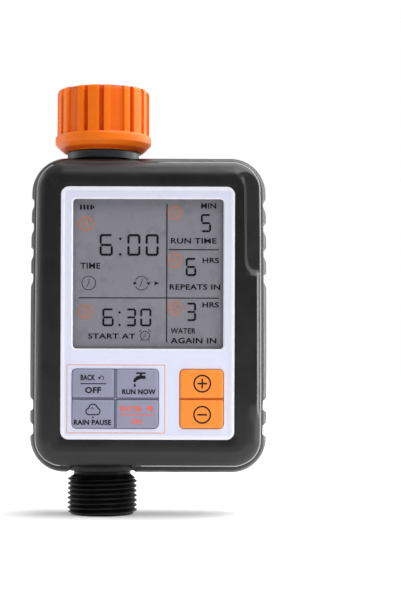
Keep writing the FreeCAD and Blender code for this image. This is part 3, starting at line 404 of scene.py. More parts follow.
# -------- body outline
CORNER_STEPS = 20
SIDE_STEPS = (208, 84)


def outline(xs, zs, r):
    """Fine outline with the same number of points for every size."""
    return rounded(xs, zs, r, CORNER_STEPS, SIDE_STEPS)


# The sides draw in towards the top: (height, share of the full width).
TAPER = [(-144.0, 0.999), (-134.0, 0.998), (-111.6, 1.0), (-88.8, 0.998), (-75.0, 0.996), (-57.0, 0.993),
         (-48.0, 0.990), (-38.7, 0.987), (-30.0, 0.982), (-25.5, 0.980)]
MIDDLE_X = (BODY_X[0] + BODY_X[1]) / 2
LEVEL_EDGE = 0.9                      # the outline counts as level where |nz| is above this


def tapered(x, z):
    return MIDDLE_X + (x - MIDDLE_X) * interp(TAPER, z)


BODY = [(tapered(x, z), z, nx, nz) for x, z, nx, nz in outline(BODY_X, BODY_Z, BODY_R)]


def body_ring(inset, y):
    """The housing's outline drawn in by an inset, at depth y."""
    return [(x - nx * inset, y, z - nz * inset) for x, z, nx, nz in BODY]


# -------- front shell
# Heights of the side pad, then insets from the outline and drops behind the front face.
PAD_TOP = -70.4
PAD_BOTTOM = -120.0
PLATEAU_EDGE = 9.1
CHANNEL_EDGE = 8.95
CHANNEL_DEPTH = 1.15
CROWN_EDGE = 3.7
CROWN_DROP = 3.2
CROWN_BEND = 0.75
# Below the crown, (inset, drop behind the front face) of the lip; the pad's flank has its own line.
LIP = [(2.9, 10.0), (3.0, 8.8), (3.15, 6.6), (3.3, 4.8), (3.38, 4.1), (3.5, 3.6), (CROWN_EDGE, CROWN_DROP)]
PAD_FLANK = [(2.9, 10.0), (3.1, 7.3), (3.3, 5.3), (3.42, 4.55), (3.55, 4.15), (4.7, 0.35),
             (4.85, 0.12), (5.0, 0.03), (5.3, 0.0)]
# The lip beside the inlet, where the housing rises to meet the collar.
INLET_RISE = [(1.5, 10.0), (1.55, 8.6), (1.62, 7.4), (1.72, 6.4), (1.85, 5.6), (2.0, 5.0), (2.2, 4.55),
              (2.5, 4.1), (2.8, 3.8), (3.2, 3.45), (CROWN_EDGE, CROWN_DROP)]
FRONT_INSETS = [2.9, 2.98, 3.06, 3.15, 3.23, 3.3, 3.36, 3.42, 3.5, 3.6, 3.7, 3.85, 4.0, 4.2, 4.4, 4.6,
                4.8, 4.95, 5.05, 5.15, 5.25, 5.35, 5.5, 5.75, 6.0, 6.3, 6.6, 6.9, 7.2, 7.5, 7.8, 8.05,
                8.2, 8.3, 8.4, 8.5, 8.6, 8.7, 8.8, 8.9, 9.0, 9.1, 9.25, 9.5, 10.0]


def crown(inset):
    """Drop of the convex border between the plateau and the lip."""
    if inset >= PLATEAU_EDGE:
        return 0.0
    if inset <= CROWN_EDGE:
        return interp(LIP, inset)
    u = CROWN_BEND * (PLATEAU_EDGE - inset) / (PLATEAU_EDGE - CROWN_EDGE)
    return CROWN_DROP * (1 - math.sqrt(1 - u * u)) / (1 - math.sqrt(1 - CROWN_BEND ** 2))


def channel(inset, z, nx):
    """Depth of the hollow beside the plateau, which ends in a rounded slope above the side pad."""
    across = CHANNEL_EDGE - inset
    turn = smoothstep(0.25, 0.97, abs(nx))
    outward = max(0.0, across - 0.6) / (CHANNEL_EDGE - 0.6 - CROWN_EDGE)
    floor = CHANNEL_DEPTH + (CROWN_DROP - CHANNEL_DEPTH) * outward
    width = mix(2.2, 0.85, smoothstep(0.6, 1.0, abs(nx)))
    reach = across
    if nx < 0:
        return 0.5 * CHANNEL_DEPTH * turn * smoothstep(0.0, 2.4, reach)
    if nx > 0:
        along = z - (PAD_TOP - 0.6)
        round_across, round_along = 3.7, 5.0
        if across < round_across and along < round_along:
            reach = round_across * (1 - math.hypot((round_across - across) / round_across,
                                                   (round_along - along) / round_along))
        else:
            reach = min(across, along * round_across / round_along)
        width = max(width, mix(0.85, 1.9, smoothstep(8.0, 1.0, along)))
    return floor * turn * smoothstep(0.0, width, reach)


def front_drop(inset, z, nx):
    """How far the front shell's outside lies behind its front face."""
    drop = crown(inset)
    scoop = channel(inset, z, nx)
    if inset > CROWN_EDGE and scoop > 0:
        soft = 0.35
        gap = max(0.0, soft - abs(drop - scoop)) / soft
        drop = max(drop, scoop) + 0.25 * soft * gap * gap * min(1.0, scoop / 0.4)
    if nx > 0:
        pad = smoothstep(PAD_TOP + 1.2, PAD_TOP - 0.8, z) * smoothstep(PAD_BOTTOM - 4.0, PAD_BOTTOM + 2.5, z)
        drop = mix(drop, interp(PAD_FLANK, inset), pad * smoothstep(0.7, 1.0, nx))
    return drop


def lip_reach(inset, nx, nz):
    """The lip stands a little further out on the sides than at the top and bottom."""
    near = smoothstep(PLATEAU_EDGE, CROWN_EDGE, inset)
    side = 0.42 if nx > 0 else 0.3
    end = 0.2 if nz > 0 else 0.1
    return near * (side * smoothstep(0.4, 1.0, abs(nx)) + end * smoothstep(0.4, 1.0, abs(nz)))


def outlet_notch():
    """Room for the outlet collar in both shells."""
    points = circle(OUTLET_COLLAR_R + 0.15, 96, 0.5)
    return loft([[(x, y - (COLLAR_REACH if y < 0 else 0.0), z) for x, y in points] for z in (-150.0, -139.9)])


def front_shell():
    rings = []
    for level, inset in enumerate(FRONT_INSETS):
        ring = []
        for x, z, nx, nz in BODY:
            at, drop = inset - lip_reach(inset, nx, nz), front_drop(inset, z, nx)
            rise = smoothstep(17.0, 11.0, abs(x)) if nz > LEVEL_EDGE else 0.0
            if rise and level < len(INLET_RISE):
                at = mix(at, INLET_RISE[level][0], rise)
                drop = mix(drop, INLET_RISE[level][1], rise)
            ring.append((x - nx * at, FRONT_Y + drop, z - nz * at))
        rings.append(ring)
    floor_y = PANEL_HI.y
    for margin, y in ((0.42, FRONT_Y), (0.27, FRONT_Y + 0.05), (0.22, FRONT_Y + 0.2), (0.22, floor_y)):
        rings.append(at_depth(outline(grow(PANEL_X, margin), grow(PANEL_Z, margin), PANEL_R + margin), y))
    back_y = FRONT_Y + 2.0
    opening = outline((-12.8, 47.8), (-128.5, -40.2), 2.4)
    rings += [at_depth(opening, floor_y), at_depth(opening, back_y)]
    for inset, y in ((11.4, back_y), (8.8, -18.6), (6.9, -16.4), (5.9, -14.2), (5.3, SEAM_Y)):
        rings.append(body_ring(inset, y))
    shell = build("front_shell_skin", *loft(rings, closed=True))
    carve(shell, block((-14.0, 49.0), (floor_y, back_y), (-103.5, -100.6)),
          block((23.2, 27.4), (floor_y, back_y), (-129.0, -103.0)), operation="UNION")
    carve(shell, rod("z", INLET_HOLE_R, (-27.6, -20.0), (0, 0), 96), outlet_notch())
    settle(shell, "housing", "shell_plastic", ["front_shell"], angle=40.0)


BEAD_R = 0.34
BEAD_INSET = 3.44
BEAD_DROP = 3.86


def lip_highlight_bead():
    """Fine bead along the front shell's lip, in a light grey that is a painted highlight for the lip's edge;
    it fades out beside the inlet and the outlet.
    """
    rings = []
    for x, z, nx, nz in BODY:
        shown = 1.0
        if nz > LEVEL_EDGE:
            shown = smoothstep(15.0, 25.0, abs(x))
        elif nz < -LEVEL_EDGE:
            shown = smoothstep(14.3, 15.2, abs(x))
        r = mix(0.03, BEAD_R, shown)
        at = BEAD_INSET - lip_reach(BEAD_INSET, nx, nz) + mix(0.5, 0.05, shown)
        rings.append([(x + nx * (a - at), FRONT_Y + BEAD_DROP + b, z + nz * (a - at))
                      for a, b in circle(r, 8)])
    bead = build("front_shell_bead", *loft(rings, closed=True))
    settle(bead, "housing", finish="painted_rim_highlight", angle=60.0)


# -------- rear shell
# Finger notches: top, depth, how far back they run, and where the upper slope ends and the lower
# one starts, both below the top.
GRIPS = [(top, 1.25, 9.6, 0.65, 2.9) for top in (-41.4, -50.3, -59.8, -69.3)]
GRIPS += [(top, 1.6, 13.4, 1.3, 4.1) for top in (-115.8, -125.0)]
GRIP_LENGTH = 5.7
# Rounded edges in front and behind: how far they draw in, their depth, and the y where they start.
SHOULDER = (3.0, 6.8, -4.6)
BACK_ROUND = (4.2, 5.0, 13.0)
SCREW_PLACES = [(x, z) for x in (-16.5, 52.0) for z in (-36.0, -136.8)]
SCREW_RECESS_R = 2.9
TRAY_X = (20.0, 51.6)
TRAY_Z = (-130.9, -75.0)
BARRELS = ((25.0, 31.0), (40.6, 46.6))


def grip_depth(y, z):
    """Depth of the finger notches: a step under each tooth, a flat floor, then a slope out to the next."""
    depth = 0.0
    for top, full, back, step_end, slope_start in GRIPS:
        below = top - z
        if -0.1 < below < GRIP_LENGTH:
            along = smoothstep(-0.1, step_end, below) * smoothstep(GRIP_LENGTH, slope_start, below)
            depth = max(depth, full * along * smoothstep(back + 0.8, back - 0.8, y))
    return depth


def quarter(steps):
    return [math.radians(90 * step / steps) for step in range(steps + 1)]


def rear_shell():
    levels = [(SHOULDER[0] * (1 - math.cos(angle)), SHOULDER[2] - SHOULDER[1] * math.sin(angle))
              for angle in quarter(12)[::-1]]
    levels += [(0.0, y) for y in (-2.0, 1.0, 4.0, 7.0, 8.8, 9.2, 9.6, 10.0, 10.4, 11.0)]
    levels += [(BACK_ROUND[0] * (1 - math.cos(angle)), BACK_ROUND[2] + BACK_ROUND[1] * math.sin(angle))
               for angle in quarter(10)]
    levels += [(4.6, BACK_Y), (6.0, BACK_Y)]
    inner = ((6.8, BACK_Y - 2.3), (4.4, 14.6), (2.5, 11.5), (2.4, -3.6), (3.4, -8.4),
             (4.9, REAR_LO.y))
    rings = [body_ring(inset, y) for inset, y in inner]
    for inset, y in levels:
        ring = []
        for x, z, nx, nz in BODY:
            at = max(inset, grip_depth(y, z)) if abs(nx) > 0.97 else inset
            ring.append((x - nx * at, y, z - nz * at))
        rings.append(ring)
    shell = build("rear_shell_skin", *loft(rings))
    bosses = [rod("y", 4.3, (REAR_LO.y + 0.4, BACK_Y - 1.0), at) for at in SCREW_PLACES]
    carve(shell, combine(bosses), operation="UNION")
    r = SCREW_RECESS_R
    cuts = [plate((x - r, x + r), (z - r, z + r), r - 0.01, ((14.0, 0), (17.7, 0), (18.2, 0.35)), 10)
            for x, z in SCREW_PLACES]
    cuts += [
        plate((17.6, 54.0), (-133.5, -72.6), 3.0, ((16.5, 0), (17.7, 0), (18.2, 0.3))),
        rod("z", INLET_HOLE_R, (-26.6, -20.0), (0, 0), 96),
        outlet_notch(),
        rod("z", WATERWAY_R, (-150.0, -130.0), (0, 0), 96),
        rod("z", WATERWAY_R, (-40.0, -25.0), (0, 0), 96),
        plate(TRAY_X, TRAY_Z, 1.0, ((14.0, 0), (17.5, 0)), 5),
        plate((29.9, 41.7), (-77.6, -65.9), 5.85, ((16.8, -0.4), (17.0, 0), (18.2, 0.4)), 16),
    ]
    cuts += [block(grow(span, 0.2), (14.9, 19.0), (-136.9, -133.0)) for span in BARRELS]
    carve(shell, *cuts)
    settle(shell, "housing", "shell_plastic", ["rear_shell"], angle=36.0)


# -------- battery door and contacts
HINGE_Y = 16.6
HINGE_Z = -134.6
HINGE_R = 1.4
CELLS = ((28.0, -130.9, 1), (43.6, -75.0, -1))
CELL_Y = 7.9


def tube_x(outer, inner, span, at, count=40):
    """Sleeve along x with small chamfers on its outer rims."""
    low, high = span
    rim = 0.15
    profile = ((inner, low), (outer - rim, low), (outer, low + rim), (outer, high - rim),
               (outer - rim, high), (inner, high))
    rings = [[(x, at[0] + a, at[1] + b) for a, b in circle(r, count)] for r, x in profile]
    return loft(rings, closed=True)


def battery_door():
    low, high = node_box("battery_door")
    xs, zs = (low.x, high.x), (HINGE_Z + 1.9, high.z)
    face, ridge_top = high.y - 0.3, high.y
    sheet = ((face - 1.4, -0.1), (face - 1.3, 0.0), (face - 0.3, 0.0), (face - 0.1, -0.08),
             (face, -0.3), (face, -1.6), (face - 0.12, -1.9), (face - 0.12, -2.6))
    parts = [plate(xs, zs, 2.8, sheet, 10)]
    middle = (xs[0] + xs[1]) / 2
    for z in (-79.0, -77.0, -75.0):
        parts.append(plate((middle - 7.0, middle + 7.0), (z, z + 0.8), 0.39,
                           ((face - 0.4, 0.0), (ridge_top - 0.15, 0.0), (ridge_top, -0.14)), 6))
    rib_x, rib_z = grow(TRAY_X, -0.3), grow(TRAY_Z, -0.4)
    outer, inner = rounded(rib_x, rib_z, 0.8), rounded(grow(rib_x, -1.0), grow(rib_z, -1.0), 0.4)
    foot = face - 1.4
    parts.append(loft([at_depth(outer, low.y), at_depth(outer, foot), at_depth(inner, foot),
                       at_depth(inner, low.y)], closed=True))
    for span in BARRELS:
        parts.append(tube_x(HINGE_R, 0.76, span, (HINGE_Y, HINGE_Z)))
        parts.append(block(span, (HINGE_Y + 0.9, face - 0.02), (HINGE_Z + 0.2, zs[0] + 0.6)))
    door = build("battery_door_shape", *combine(parts))
    settle(door, "door", "shell_plastic", ["battery_door"], angle=40.0)


def contact_springs():
    """Conical spring of round wire at each cell's flat end."""
    wire, steps, sides = 0.28, 150, 8
    parts = []
    for x, wall, inward in CELLS:
        rings = []
        for i in range(steps + 1):
            t = i / steps
            angle = 2 * math.pi * 3.1 * t
            r, z = mix(4.2, 2.5, t), wall + inward * mix(0.8, 2.1, t)
            along = Vector((-math.sin(angle), math.cos(angle), 0.0))
            out = Vector((math.cos(angle), math.sin(angle), 0.0))
            up = along.cross(out)
            centre = Vector((x, CELL_Y, z)) + out * r
            rings.append([tuple(centre + out * a + up * b) for a, b in circle(wire, sides)])
        parts.append(loft(rings))
    springs = build("contact_springs_wire", *combine(parts))
    settle(springs, "housing", "steel", ["contact_springs"], angle=50.0)


# -------- inlet nut
NUT_ANGLE_LAND = 3.0
NUT_R = 17.4
NUT_FLANGE_R = 18.15
NUT_GROOVE = 0.98                      # depth of the wide flats
NUT_SLOT = 1.45                        # depth of the narrow grooves between the ribs
NUT_ROOT_R = 13.3
THREAD_PITCH = 1.814


def helix(directions, turns, start, end, radius, per_turn):
    """Right-hand thread surface between two heights. Rows climb with the helix, and rows past an end
    are pressed flat on it, so that merging points leaves a clean rim."""
    count = len(directions)
    up = end > start
    sign = 1 if up else -1
    rows = int(abs(end - start) / THREAD_PITCH * per_turn) + per_turn + 3
    low, high = min(start, end), max(start, end)
    verts, faces = [], []
    for row in range(rows):
        ridge = 1 - abs(2 * ((row / per_turn) % 1.0) - 1)
        for (dx, dy), turn in zip(directions, turns):
            z = start + (sign * row / per_turn + turn - (1 if up else 0)) * THREAD_PITCH
            z = min(high, max(low, z))
            r = radius(ridge, z)
            verts.append((r * dx, r * dy, z))
    for row in range(rows - 1):
        for j in range(count):
            k = (j + 1) % count
            beside = row if k else row + sign * per_turn
            if -1 <= beside < rows - 1:
                corners = (row * count + j, max(beside, 0) * count + k,
                           (beside + 1) * count + k, (row + 1) * count + j)
                faces.append(tuple(dict.fromkeys(corners)))
    return verts, faces


def nut_angles():
    """Angles in degrees with extra points on the walls of every groove."""
    centres = []
    for k in range(6):
        centres += [(-40 + 60 * k, 8.5), (-20 + 60 * k, 2.5), (60 * k, 2.5)]
    marks = set()
    for centre, half in centres:
        for offset in (0.0, 0.5, 0.8, 1.0, 1.15, 1.35, 1.6, 2.1):
            for side in (-1, 1):
                edge = half + (offset - 1.0) * 1.1
                marks.add(round((centre + side * edge) % 360, 3))
        marks.add(round(centre % 360, 3))
    marks = sorted(marks)
    filled = []
    for i, mark in enumerate(marks):
        gap = (marks[(i + 1) % len(marks)] - mark) % 360
        parts = max(1, math.ceil(gap / NUT_ANGLE_LAND))
        filled += [(mark + gap * p / parts) % 360 for p in range(parts)]
    return sorted(filled), centres


def groove_depth(angle, centres):
    """How far the nut's side lies behind its ribs at an angle."""
    depth = 0.0
    for centre, half in centres:
        away = abs((angle - centre + 180) % 360 - 180)
        full = NUT_GROOVE if half > 5 else NUT_SLOT
        depth = max(depth, full * smoothstep(half + 0.75, half - 0.25, away))
    return depth


def painted_groove_shade():
    """Nut plastic with painted shade: a deeper orange on the floors of the narrow grooves, where shade falls.
    """
    tree = Tree(MATERIALS["nut_plastic"])
    across = tree.add("VectorMath", operation="MULTIPLY")
    across.inputs[1].default_value = (1.0, 1.0, 0.0)
    tree.links.new(tree.place(), across.inputs[0])
    away = tree.length(across.outputs["Vector"])
    floor_r = NUT_R - NUT_SLOT
    side = tree.remap(away, (floor_r + 0.1) * MM, (floor_r + 0.75) * MM, 1.0, 0.0)
    inside = tree.remap(away, (floor_r - 1.2) * MM, (floor_r - 0.6) * MM, 0.0, 1.0)
    # Painted shade: the groove floors blend to a deep orange, standing in for the shade inside the narrow
    # grooves.
    tree.recolour(tree.maths("MULTIPLY", side, inside), srgb(214, 76, 4))


def inlet_nut():
    angles, centres = nut_angles()
    depths = [groove_depth(a, centres) for a in angles]
    directions = [(math.sin(math.radians(a)), -math.cos(math.radians(a))) for a in angles]
    outside = [(13.9, 0.0, 0), (15.9, 0.0, 0.55), (16.6, -0.12, 0.8), (17.05, -0.45, 1), (17.3, -1.0, 1),
               (NUT_R, -1.8, 1), (NUT_R, -9.0, 1), (NUT_R + 0.03, -16.5, 1), (NUT_R + 0.03, -16.85, 1),
               (NUT_R + 0.04, -17.0, 0.9), (NUT_R + 0.05, -17.15, 0.3), (NUT_R + 0.1, -17.25, 0),
               (NUT_R + 0.4, -17.45, 0), (NUT_FLANGE_R - 0.1, -17.75, 0), (NUT_FLANGE_R, -18.2, 0),
               (NUT_FLANGE_R, -20.3, 0), (NUT_FLANGE_R - 0.08, -20.5, 0), (NUT_FLANGE_R - 0.3, -20.75, 0),
               (16.5, -22.1, 0), (15.2, -23.2, 0), (14.8, -23.45, 0),
               (14.4, -23.5, 0), (10.6, -23.5, 0), (10.2, -23.3, 0), (9.9, -22.9, 0), (9.9, -19.3, 0),
               (12.0, -19.3, 0)]
    rings = []
    for r, z, grooved in outside:
        rings.append([((r - grooved * depth) * dx, (r - grooved * depth) * dy, z)
                      for (dx, dy), depth in zip(directions, depths)])
    floor_z, mouth_z = -16.2, -0.5
    rings.append([(12.0 * dx, 12.0 * dy, floor_z - 0.6) for dx, dy in directions])
    rings.append([(NUT_ROOT_R * dx, NUT_ROOT_R * dy, floor_z) for dx, dy in directions])
    mouth = [[(r * dx, r * dy, z) for dx, dy in directions]
             for r, z in ((NUT_ROOT_R, mouth_z), (13.45, -0.15), (13.9, 0.0))]

    def radius(ridge, z):
        fade = smoothstep(floor_z, floor_z + 2.2, z) * smoothstep(mouth_z, mouth_z - 1.0, z)
        return NUT_ROOT_R - 1.1 * smoothstep(0.0, 1.0, ridge) * fade

    thread = helix(directions, [a / 360 for a in angles], floor_z, mouth_z, radius, 8)
    body = loft(rings, cap_first=False, cap_last=False)
    lip = loft(mouth, cap_first=False, cap_last=False)
    nut = build("inlet_nut_shape", *combine([body, thread, lip]), merge=0.004)
    painted_groove_shade()
    settle(nut, "swivel_nut", "nut_plastic", ["inlet_nut"], angle=38.0)


# -------- outlet spout
SPOUT_END = SPOUT_LO.z
SPOUT_CREST_R = 13.22
SPOUT_ROOT_R = 12.0


def outlet_spout():
    count = 144
    turns = [i / count for i in range(count)]
    directions = [(-math.cos(2 * math.pi * t), -math.sin(2 * math.pi * t)) for t in turns]

    def ring(r, z, reach=0.0):
        return [(r * dx, r * dy - (reach if dy < -1e-6 else 0.0), z) for dx, dy in directions]

    top, bottom = -145.9, SPOUT_END + 0.5
    collar = [(8.2, -144.4, 0), (10.6, -144.4, 0), (10.65, -140.2, 0), (12.4, -140.2, 1), (12.7, -140.35, 1),
              (OUTLET_COLLAR_R, -140.7, 1), (OUTLET_COLLAR_R - 0.1, -142.6, 1), (12.6, -143.0, 1),
              (12.2, -143.2, 1), (11.3, -143.3, 1), (10.9, -143.5, 0.3), (10.78, -144.0, 0),
              (10.78, -144.9, 0), (11.2, -145.4, 0), (SPOUT_ROOT_R, top, 0)]
    tip = [(SPOUT_ROOT_R, bottom), (11.95, SPOUT_END + 0.25), (11.65, SPOUT_END), (9.0, SPOUT_END),
           (8.6, SPOUT_END + 0.4), (8.6, -152.1), (5.6, -149.1), (5.6, -143.0), (5.6, SPOUT_HI.z),
           (8.2, SPOUT_HI.z), (8.2, -144.4)]
    head = loft([ring(r, z, reach * COLLAR_REACH) for r, z, reach in collar], cap_first=False, cap_last=False)
    tail = loft([ring(r, z) for r, z in tip], cap_first=False, cap_last=False)

    def radius(ridge, z):
        fade = smoothstep(top, top - 0.8, z) * smoothstep(bottom, bottom + 0.5, z)
        return SPOUT_ROOT_R + (SPOUT_CREST_R - SPOUT_ROOT_R) * min(1.0, ridge * 1.12) * fade

    thread = helix(directions, turns, top, bottom, radius, 14)
    spout = build("outlet_spout_shape", *combine([head, thread, tail]), merge=0.004)
    settle(spout, "housing", "black_plastic", ["outlet_spout"], angle=42.0)


# -------- panel, lens, display
def face_panel():
    back, front = PANEL_HI.y, PANEL_LO.y
    levels = [(back, 0.0), (front + 0.16, 0.0), (front + 0.05, -0.05), (front, -0.18), (front, -1.0),
              (front + 0.03, -1.15), (front + 0.12, -1.3), (front + 0.15, -1.45), (front + 0.15, -2.4)]
    panel = build("face_panel_shape", *plate(PANEL_X, PANEL_Z, PANEL_R, levels, 12))
    cuts = [plate(WINDOW_X, WINDOW_Z, 1.3, ((front - 0.4, 0.75), (front + 0.15, 0.5), (front + 0.5, 0.06),
                                           (front + 0.6, 0.0), (back + 0.5, 0.0)), 8)]
    for nodes in (MENU_KEYS, ADJUST_KEYS):
        cuts.append(plate(*key_block(nodes), KEY_BLOCK_R, ((front - 0.4, 0.5), (front + 0.15, 0.3),
                                                           (front + 0.4, 0.15), (back + 0.5, 0.15)), 8))
    carve(panel, *cuts)
    settle(panel, "housing", "panel_plastic", ["face_panel"], angle=30.0)
    # The panel's outer rim and the window's bevel take the whiter material, a painted highlight along those
    # edges.
    panel.data.materials.append(MATERIALS["panel_edge_highlight"])
    inner_x, inner_z = grow(PANEL_X, -1.42), grow(PANEL_Z, -1.42)
    lip_x, lip_z = grow(WINDOW_X, 0.72), grow(WINDOW_Z, 0.72)
    for polygon in panel.data.polygons:
        x, _, z = polygon.center / MM
        outside = not (inner_x[0] < x < inner_x[1] and inner_z[0] < z < inner_z[1])
        window = lip_x[0] < x < lip_x[1] and lip_z[0] < z < lip_z[1] and polygon.area < 60 * MM * MM
        polygon.material_index = 1 if outside or window else 0


def lens_and_glass():
    for node, slot, rim in (("display_lens", "lens_acrylic", 0.15), ("display_glass", "display_glass", 0.1)):
        low, high = node_box(node)
        levels = ((low.y, -rim), (low.y + rim, 0), (high.y, 0))
        sheet = plate(*spans(low, high), 2.0, levels, 6)
        settle(build(node + "_shape", *sheet), "housing", slot, [node])


# -------- flat prints: strokes, digits, words
class Print:
    """Flat shapes of one colour that stand just proud of a face at depth y. Places are measured from an
    origin on the face, upwards or downwards."""

    def __init__(self, y, thickness, origin=(0.0, 0.0), down=False):
        self.y = y
        self.front = y - thickness
        self.origin = origin
        self.sign = -1 if down else 1
        self.parts = []

    def at(self, place):
        return (self.origin[0] + place[0], self.origin[1] + self.sign * place[1])

    def fill(self, ring):
        self.parts.append(loft([at_depth(ring, self.y), at_depth(ring, self.front)]))

    def ribbon(self, points, width, closed=False):
        """Band of one width along a line of points on the face, mitred at the joints."""
        count = len(points)
        left, right = [], []
        for i, (x, z) in enumerate(points):
            before = points[i - 1] if i or closed else points[i]
            after = points[(i + 1) % count] if i < count - 1 or closed else points[i]
            dx, dz = after[0] - before[0], after[1] - before[1]
            size = math.hypot(dx, dz) or 1.0
            nx, nz = -dz / size * width / 2, dx / size * width / 2
            left.append((x + nx, z + nz))
            right.append((x - nx, z - nz))
        if not closed:
            self.fill(left + right[::-1])
            return
        self.parts.append(loft([at_depth(left, self.y), at_depth(right, self.y),
                                at_depth(right, self.front), at_depth(left, self.front)], closed=True))

    def polygon(self, *points):
        self.fill([self.at(point) for point in points])

    def stroke(self, width, *points):
        self.ribbon([self.at(point) for point in points], width)

    def loop(self, width, *points):
        self.ribbon([self.at(point) for point in points], width, True)

    def circle(self, place, r, width, count=40):
        x, z = self.at(place)
        self.ribbon([(x + a, z + b) for a, b in circle(r, count)], width, True)

    def dot(self, place, r, count=16):
        x, z = self.at(place)
        self.fill([(x + a, z + b) for a, b in circle(r, count)])

    def arc(self, place, r, start, end, width, count=20):
        x, z = self.at(place)
        angles = [math.radians(mix(start, end, i / count)) for i in range(count + 1)]
        self.ribbon([(x + r * math.cos(angle), z + r * math.sin(angle)) for angle in angles], width)

    def digit(self, shape, left, right, top, bottom, line):
        """Seven-segment digit between two sides and two heights."""
        (x, z), width, height = self.at((left, top)), right - left, bottom - top
        gap = line * 0.18
        half = line / 2
        mid = height / 2
        for name, down in (("a", 0), ("g", mid), ("d", height)):
            if name in SEGMENTS[shape]:
                zc = z - min(max(down, half), height - half)
                x0, x1 = x + gap + half * 0.4, x + width - gap - half * 0.4
                self.fill([(x0, zc), (x0 + half, zc + half), (x1 - half, zc + half), (x1, zc),
                           (x1 - half, zc - half), (x0 + half, zc - half)])
        for name, right_side, low in (("f", 0, 0), ("b", 1, 0), ("e", 0, 1), ("c", 1, 1)):
            if name in SEGMENTS[shape]:
                xc = x + (width - half if right_side else half)
                z1 = z - (mid if low else 0) - gap - half * 0.4
                z0 = z - (height if low else mid) + gap + half * 0.4
                self.fill([(xc, z1), (xc + half, z1 - half), (xc + half, z0 + half), (xc, z0),
                           (xc - half, z0 + half), (xc - half, z1 - half)])

    def words(self, text, place, width, height, weight=0.04):
        """Plain capital letters centred on a place and fitted to a width and height."""
        curve = bpy.data.curves.new("words", "FONT")
        curve.body = text
        curve.size = 1.0
        curve.offset = weight
        curve.space_character = 1.06
        curve.resolution_u = 3
        curve.extrude = 0.5
        obj = new_object("words", curve)
        bpy.context.view_layer.update()
        mesh = bpy.data.meshes.new_from_object(obj.evaluated_get(bpy.context.evaluated_depsgraph_get()))
        work = bmesh.new()
        work.from_mesh(mesh)
        bmesh.ops.remove_doubles(work, verts=work.verts, dist=1e-5)
        points = [tuple(v.co) for v in work.verts]
        faces = [tuple(v.index for v in face.verts) for face in work.faces]
        work.free()
        bpy.data.objects.remove(obj)
        x, z = self.at(place)
        x0, x1 = min(p[0] for p in points), max(p[0] for p in points)
        z0, z1 = min(p[1] for p in points), max(p[1] for p in points)
        verts = [(x + width * ((px - x0) / (x1 - x0) - 0.5), self.front if side > 0 else self.y,
                  z + height * ((pz - z0) / (z1 - z0) - 0.5)) for px, pz, side in points]
        self.parts.append((verts, faces))

    def finish(self, name, body, finish):
        settle(build(name, *combine(self.parts)), body, finish=finish, angle=20.0)


SEGMENTS = {"0": "abcdef", "3": "abcdg", "5": "acdfg", "6": "acdefg"}
# Places on the display are millimetres to the right of and below the window's upper left corner.
# Digits are (digit, left, right, top, bottom, line width) and words (text, left, right, top, bottom).
DIGITS = (("6", 9.6, 14.5, 12.65, 20.65, 0.84), ("0", 19.8, 24.6, 12.65, 20.65, 0.84),
          ("0", 26.5, 31.3, 12.65, 20.65, 0.84), ("6", 10.7, 14.9, 39.9, 46.5, 0.76),
          ("3", 19.4, 23.1, 39.9, 46.5, 0.76), ("0", 24.6, 28.7, 39.9, 46.5, 0.76),
          ("5", 46.7, 50.5, 5.2, 11.9, 0.76), ("6", 41.2, 45.1, 21.3, 28.0, 0.76),
          ("3", 41.5, 45.1, 37.7, 44.5, 0.76))
COLONS = ((17.2, 14.4, 0.48), (17.2, 20.1, 0.48), (17.05, 41.4, 0.44), (17.05, 46.0, 0.44))
WORDS = (("TIME", 2.6, 9.9, 23.2, 25.4), ("START AT", 5.5, 22.8, 49.1, 51.1), ("MIN", 46.8, 52.3, 1.2, 3.25),
         ("RUN TIME", 35.75, 52.5, 14.05, 16.1), ("HRS", 47.4, 53.4, 21.2, 23.2),
         ("REPEATS IN", 35.3, 53.9, 30.95, 33.0), ("HRS", 47.4, 53.4, 37.5, 39.5),
         ("WATER", 35.75, 45.0, 47.05, 49.1), ("AGAIN IN", 35.75, 52.6, 50.6, 52.7))
CIRCLED = (("1", 4.6, 8.9), ("2", 4.6, 41.15), ("3", 37.4, 4.65), ("4", 37.4, 22.2), ("5", 37.4, 39.7))


